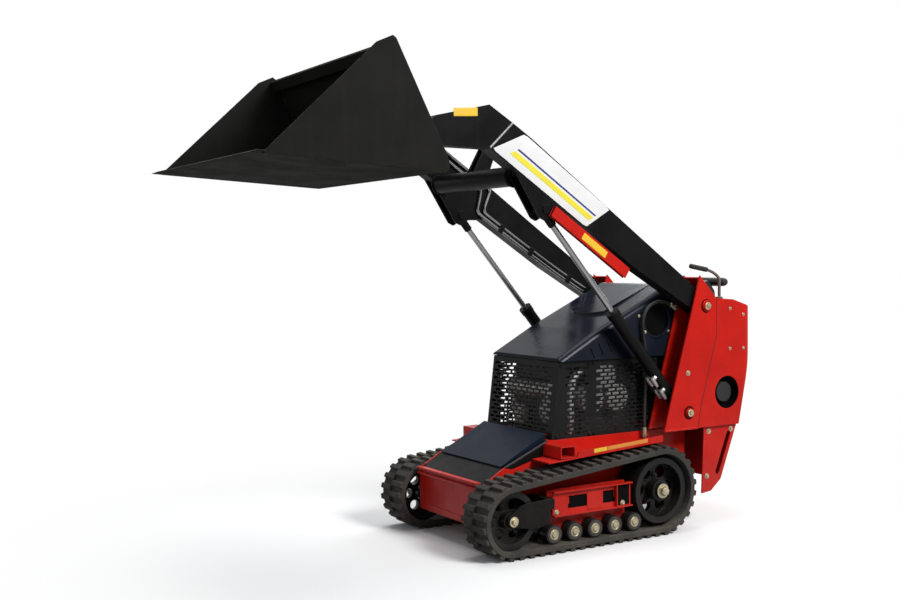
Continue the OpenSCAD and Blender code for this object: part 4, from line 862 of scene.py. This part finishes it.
engineLook = {
    "turned": {
        "muffler": {"place": (0.402, 0.0, 0.64), "axis": (0, 1, 0),
                    "profile": mm((12, -150), (36, -148), (36, 148), (12, 150))},
        "filter": {"place": (0.385, -0.1, 0.47), "axis": (0, 0, 1),
                   "profile": mm((10, 0), (34, 2), (36, 80), (30, 88), (8, 90))},
        "pulley": {"place": (0.361, 0.09, 0.54), "axis": (1, 0, 0),
                   "profile": mm((20, 0), (55, 0), (55, 6), (47, 12), (55, 18), (55, 24), (20, 26))},
    },
    "fins": {"count": 9, "reach": 0.052, "thick": 0.0025, "radii": (0.046, 0.062), "face": 0.1795,
             "places": mm((100, 600), (240, 600), (170, 700))},
    "pipe": mm((335, 190, 455), (345, 212, 520), (350, 214, 640), (320, 208, 715), (240, 190, 735)),
    "pipeRadius": 0.016,
}


# turned vessels, finned barrels whose radius steps in and out along the axis, and a bent pipe on each side
def makeEngine(look):
    grids = [turned(row["profile"], atMachine(*row["place"]), row["axis"], count=40)
             for row in look["turned"].values()]
    fins = look["fins"]
    inner, outer = fins["radii"]
    along = np.repeat(np.linspace(0, fins["reach"], fins["count"]), 4)
    radius = np.tile((inner, outer, outer, inner), fins["count"])
    offset = np.tile((0.0, 0.0, fins["thick"], fins["thick"]), fins["count"])
    barrel = np.stack((radius, along + offset), -1)
    grids += sideTurned(barrel, fins["places"], fins["face"], count=28)
    for k in (1, -1):
        pipe = eased([atMachine(x, k * y, z) for x, y, z in look["pipe"]])
        grids.append(carried(pipe, look["pipeRadius"], sides=18))
    fit("engineDress", grids, "engineBright")


makeEngine(engineLook)
print("engine dressed")

hoodLook = {
    "opening": (-0.108, 0.937, 0.0715),  # centre and radius
    "depth": 0.02,
    "pleats": 9,
    "pleatDepth": 0.004,
    "discBack": -0.003,
    "back": mm((300, 775), (150, 775), (150, 885), (300, 845)),  # dark sheet behind the louvres, painted shade of the hood's inside
    "backFace": 0.256,
}
hoodBoltLook = {"hoodBolts": {"on": "hood", "body": "hood", "inset": 0.002, "across": 0.0085, "sunk": 0.003,
                              "places": mm((-41, 885), (-179, 885), (-5, 958))}}


# air filters: a disc whose face rises and falls along the radius in even pleats, its near-black painted shade
# of the recessed opening
def makeHoodInsides(look):
    x, z, r = look["opening"]
    heart = 0.02  # the disc's innermost ring, as a share of its radius
    share = np.linspace(heart, 1.0, 4 * look["pleats"])
    rise = look["pleatDepth"] * np.abs((share * look["pleats"]) % 1.0 - 0.5)
    back = ((r, look["discBack"]), (heart * r, look["discBack"]))
    profile = np.concatenate((np.stack((share * r, rise), -1), back))
    discs = sideTurned(profile, [(x, z)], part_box("hood")[1].y - look["depth"], count=48)
    fit("airFilters", discs, "paintedShadeBlack", "hood")
    # the louvre backs are a dark sheet as painted shade of the hood's inside
    fit("louvreBacks", sidePanels(look["back"], look["backFace"], power=40.0), "panel_plastic", "hood")


makeHoodInsides(hoodLook)
sidePieces(hoodBoltLook)

seamLook = {"route": mm((-364, 1030), (-364, 861), (-265, 533), (-250, 452)), "radius": 0.0016}


# seam between tower and body: a thin dark bar sunk to its middle along the joint
def makeBodySeam(look):
    routes = bothSides(resampled(look["route"], 90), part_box("rear_body")[1].y)
    seams = [carried(path, look["radius"], sides=8) for path, axis in routes]
    fit("bodySeam", seams, "panel_plastic", sharp=0)


makeBodySeam(seamLook)
print("hood insides and body seam fitted")

stepLook = {
    "wall": 0.008,  # the frame's sheet
    "side": mm((528.5, 427), (725, 345), (690, 338), (528.5, 380)),  # sheet on the wall
    "sideThick": 0.001,
    "edge": mm((504, 438.5), (724, 346.3)),
    "sheet": mm((834, 285.5), (729, 344)),  # from the front plate up to the step
    "sheetThick": 0.0012,
    "strip": 0.005,
}


# black sheets beside and before the step, painted shade of the hollow under it, and a rubber strip along each
# wall's sloped edge
def makeStepSides(look):
    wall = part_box("chassis_frame")[1].y
    sheets = sidePanels(look["side"], wall, thick=look["sideThick"])
    inner = wall - look["wall"]
    (x0, z0), (x1, z1) = look["sheet"]
    places = ((x0, -inner, z0), (x0, inner, z0), (x1, inner, z1), (x1, -inner, z1))
    corners = [atMachine(*at) for at in places]
    sheets.append(panel(corners, (z1 - z0, 0, x0 - x1), thick=look["sheetThick"], power=80.0))
    # these black sheets are painted shade of the hollow under the step
    fit("stepSheets", sheets, "black_paint")
    edges = bothSides(resampled(look["edge"], 40), wall - look["wall"] / 2)
    strips = [carried(path, look["strip"], sides=12) for path, axis in edges]
    fit("stepStrips", strips, "panel_plastic", sharp=0)


makeStepSides(stepLook)
print("step sides fitted")

hoseLook = {
    "route": mm(
        (-200.5, 992.5), (-178, 1005), (-140, 1018), (-95, 1024), (-30, 992), (-8, 925), (-20, 850),
        (-34, 760), (-30, 660), (-22, 560), (-20, 480), (-20, 429)),
    "side": 0.2778,
    "diameter": 0.015,
    "points": 240,
    "ripple": 0.03,
    "waves": 60,
    "ferrule": mm((5, -30), (10.2, -29), (10.2, -6), (8.5, -4), (8.5, 0), (6, 1)),
    "nut": mm((6, -4), (11.2, -3), (11.2, 11), (9, 13), (8, 20), (3, 21)),
}


# hose: a round bar carried along the eased route beside the hood, ringed by a fine ripple,
# with a ferrule and a nut at each end
def makeHose(look):
    path = eased(onSide(look["route"], look["side"]), rounds=3)
    step = lengths(path)
    path = resampled(path, look["points"], step)
    bar = carried(path, look["diameter"] / 2, sides=16, ripple=look["ripple"], waves=look["waves"])
    hose = fit("liftHose", [bar], "hoseRubber", sharp=0)
    ends = []
    for at, along in ((path[0], path[0] - path[4]), (path[-1], path[-1] - path[-5])):
        ends.append(turned(look["ferrule"], at, along))
        ends.append(turned(look["nut"], at, along, count=6, twist=0.2))
    fittings = fit("hoseFittings", ends, "zinc_plate")


makeHose(hoseLook)
print("hose run")

fittingLook = {
    "elbow": mm((4, 0), (12, 0), (12, 12), (9, 13), (9, 18), (2, 19)),
    "elbowSunk": 0.006,
    "sleeve": mm((3, 0), (7, 1), (7, 10), (9.5, 11), (9.5, 38), (7.5, 40), (7.5, 52), (3, 53)),
    "sleeveFrom": (0.014, 0.012),  # under and along, from the elbow's foot
    "along": (0.16, 0.236),  # from the barrel's base pin
    "apart": 0.016,
    "skin": 0.022,
    "collar": mm((10, 0), (15, 1), (18, 4), (18, 58), (10, 60)),
    "collarAt": 1.0989,
}


# elbows and sleeves under each lift barrel, and a turned collar behind each rod's eye
def makeFittings(look):
    down, on = look["sleeveFrom"]
    for side in ("left", "right"):
        base = np.array(joints["lift_swing_" + side]["pos_m"])
        along = np.array(joints["lift_extend_" + side]["axis"])
        under = np.array((along[2], 0, -along[0]))
        grids = []
        for reach in look["along"]:
            for k in (1, -1):
                at = base + along * reach + under * look["skin"] + np.array((0, k * look["apart"], 0))
                grids.append(turned(look["elbow"], at - under * look["elbowSunk"], under, count=6))
                grids.append(turned(look["sleeve"], at + under * down + along * on, -along, count=20))
        fit("barrelFittings-" + side, grids, "castBright", "lift_barrel_" + side)
        collar = turned(look["collar"], base + along * look["collarAt"], along, count=32)
        fit("rodCollar-" + side, [collar], "black_paint", "lift_rod_" + side)


makeFittings(fittingLook)

lineLook = {
    "routes": (  # along and across the arm
        mm(
            (185, -55.5), (440, -74), (800, -79.5), (868, -80.5), (915, -79), (926, -45), (940, -5),
            (955, 25), (1010, 26), (1150, 26), (1235, 26)),
        mm(
            (185, -35.5), (440, -54), (790, -59.5), (850, -60.5), (882, -58), (892, -30), (899, 10),
            (908, 50), (960, 54), (1150, 54), (1247, 54)),
    ),
    "slim": 0.97,
    "clamps": (0.3, 0.56, 0.76),
    "clamp": mm((-14, -12), (14, 32)),
    "clampSeat": 0.0004,
    "clampThick": 0.003,
    "coupler": mm((6, 0), (10.5, 1), (10.5, 20), (13.5, 22), (13.5, 52), (11.5, 55), (11.5, 70), (6, 71)),
    "couplerBack": 0.004,  # share of the last steps
}


# hydraulic lines on the right arm: round bars along its lower edge that bend up to their couplers
def makeLines(look):
    low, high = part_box("arm_tubes")
    y, r = (low.y + high.y) / 2, (high.y - low.y) / 2
    paths = [eased([onArm(u, v, y) for u, v in route]) for route in look["routes"]]
    bars = [carried(path, r * look["slim"], sides=16) for path in paths]
    lines = fit("armLines", bars, "chrome_rod", "arm", sharp=0)
    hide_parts("arm_tubes")
    ends = []
    for path in paths:
        ahead = path[-1] - path[-3]
        ends.append(turned(look["coupler"], path[-1] - look["couplerBack"] * ahead, ahead))
    fit("couplers", ends, "castBright", "arm")
    clamps = []
    for u in look["clamps"]:
        v = np.interp(u, *np.array(look["routes"][0]).T)
        corners = [onArm(u + a, v + b, y + r - look["clampSeat"]) for a, b in rectangle(*look["clamp"])]
        clamps.append(panel(corners, (0, 1, 0), thick=look["clampThick"], power=8.0))
    fit("lineClamps", clamps, "black_paint", "arm")


makeLines(lineLook)
print("fittings and couplers fitted")

consoleLook = {
    "face": mm((-560, 1059), (-520, 1112)),  # lower and upper edge of the sloped panel
    "gauge": {
        "across": 0.0,
        "ring": mm((4, 0), (27, 0), (27, 6), (25, 7.5), (22.5, 7), (22, 3.5), (4, 3.3)),
        "dial": mm((1, 3.2), (21.5, 3.2), (21.5, 4), (1, 4.1)),
        "marks": {"turns": (-45, 225, 11), "bar": (0.015, 0.0195, 0.0006)},  # from, to and half width
        "needle": {"turn": 1.9, "bar": (-0.004, 0.0165, 0.0009)},
        "markSeat": 0.0041,
        "markThick": 0.0005},
    "knobs": (-0.105, -0.065),
    "knob": mm((3, 0), (6, 0), (5.5, 10), (12, 12), (13.5, 18), (12.5, 25), (7, 29), (2, 29.5)),
    "key": {
        "across": 0.075,
        "cup": mm((4, 0), (14.5, 0), (14.5, 4), (12, 7), (6, 7.5), (2, 7.5)),
        "bow": mm((-9, 14), (9, 14), (10, 33), (-10, 33)),
        "bowPlate": {"thick": 0.0016, "power": 6.0, "count": 32},
        "stem": mm((-3, 4), (3, 4), (3, 16), (-3, 16)),
        "stemPlate": {"thick": 0.0015, "power": 20.0, "count": 24}},
}


# turned dial, knobs and key switch, square to the console's sloped panel; the dial's marks are
# thin bars round three quarters of it, and the needle is one more
def makeConsole(look):
    (x0, z0), (x1, z1) = look["face"]
    normal = np.array((z0 - z1, 0, x1 - x0))
    normal = normal / np.linalg.norm(normal)
    up = np.array((x1 - x0, 0, z1 - z0)) / hypot(x1 - x0, z1 - z0)
    side = np.array((0.0, 1.0, 0.0))

    def onPanel(y, out=0.0):
        return np.array(atMachine((x0 + x1) / 2, y, (z0 + z1) / 2)) + normal * out

    gauge, key = look["gauge"], look["key"]
    centre = onPanel(gauge["across"])
    fit("gaugeRing", [turned(gauge["ring"], centre, normal, count=40)], "panel_plastic")
    fit("gaugeDial", [turned(gauge["dial"], centre, normal, count=40)], "signWhite")
    bars = [(turn, gauge["marks"]["bar"]) for turn in np.radians(np.linspace(*gauge["marks"]["turns"]))]
    bars.append((gauge["needle"]["turn"], gauge["needle"]["bar"]))
    at = onPanel(gauge["across"], gauge["markSeat"])
    marks = []
    for turn, (near, far, wide) in bars:
        out, square = cos(turn) * side + sin(turn) * up, cos(turn) * up - sin(turn) * side
        corners = [at + out * a + square * b for a, b in rectangle((near, -wide), (far, wide))]
        marks.append(panel(corners, normal, thick=gauge["markThick"], power=20.0, count=16))
    fit("gaugeMarks", marks, "panel_plastic")
    knobs = [turned(look["knob"], onPanel(y), normal, count=28) for y in look["knobs"]]
    fit("consoleKnobs", knobs, "panel_plastic")
    at = onPanel(key["across"])
    switch = [turned(key["cup"], at, normal, count=28)]
    for part in ("bow", "stem"):
        corners = [at + up * a + normal * b for a, b in key[part]]
        switch.append(panel(corners, (0, 1, 0), **key[part + "Plate"]))
    fit("keySwitch", switch, "castBright")


makeConsole(consoleLook)

leverLook = {
    "route": mm(
        (-461, 1031), (-461, 1095), (-461, 1120), (-445, 1137), (-410, 1156), (-346, 1171.5),
        (-282, 1180.5)),
    "rod": 0.0068,
    "foot": mm((4, -6), (16, -6), (16, 4), (12, 7), (6.6, 8)),
    "gripEnds": mm((-384, 1162.7), (-277, 1181.2)),
    "grip": {"radius": 0.0108, "ribs": 9, "over": 0.0008},
    "bar": (-0.582, 0.0, 1.102),
    "barHalf": 0.222,
    "sleeve": {"radius": 0.0205, "ribs": 36, "over": 0.0006},
}


# sleeve: the radius swells and dips along it and closes in at both ends as a high power
def sleeve(start, end, radius, ribs, over):
    share = np.linspace(0, 1, 160)
    closing = 0.35 * radius * np.abs(2 * share - 1) ** 24
    swell = radius + over * np.abs(np.sin(np.pi * ribs * share)) - closing
    profile = np.stack((swell, share * np.linalg.norm(end - start)), -1)
    return turned(profile, start, end - start, count=28)


# lever: a round rod along its eased route in a turned foot, with its grip, and the hand bar's sleeve
def makeLever(look):
    low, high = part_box("control_lever")
    y = (low.y + high.y) / 2
    path = eased(onSide(look["route"], y))
    foot = turned(look["foot"], path[0], (0, 0, 1), count=28)
    lever = fit("leverRod", [carried(path, look["rod"], sides=16), foot], "lever_steel")
    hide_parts("control_lever")
    grip = sleeve(*onSide(look["gripEnds"], y), **look["grip"])
    fit("leverGrip", [grip], "panel_plastic", sharp=0)
    middle, reach = np.array(atMachine(*look["bar"])), np.array((0, look["barHalf"], 0))
    bar = sleeve(middle - reach, middle + reach, **look["sleeve"])
    fit("handBarSleeve", [bar], "panel_plastic", sharp=0)


makeLever(leverLook)
print("console dressed")
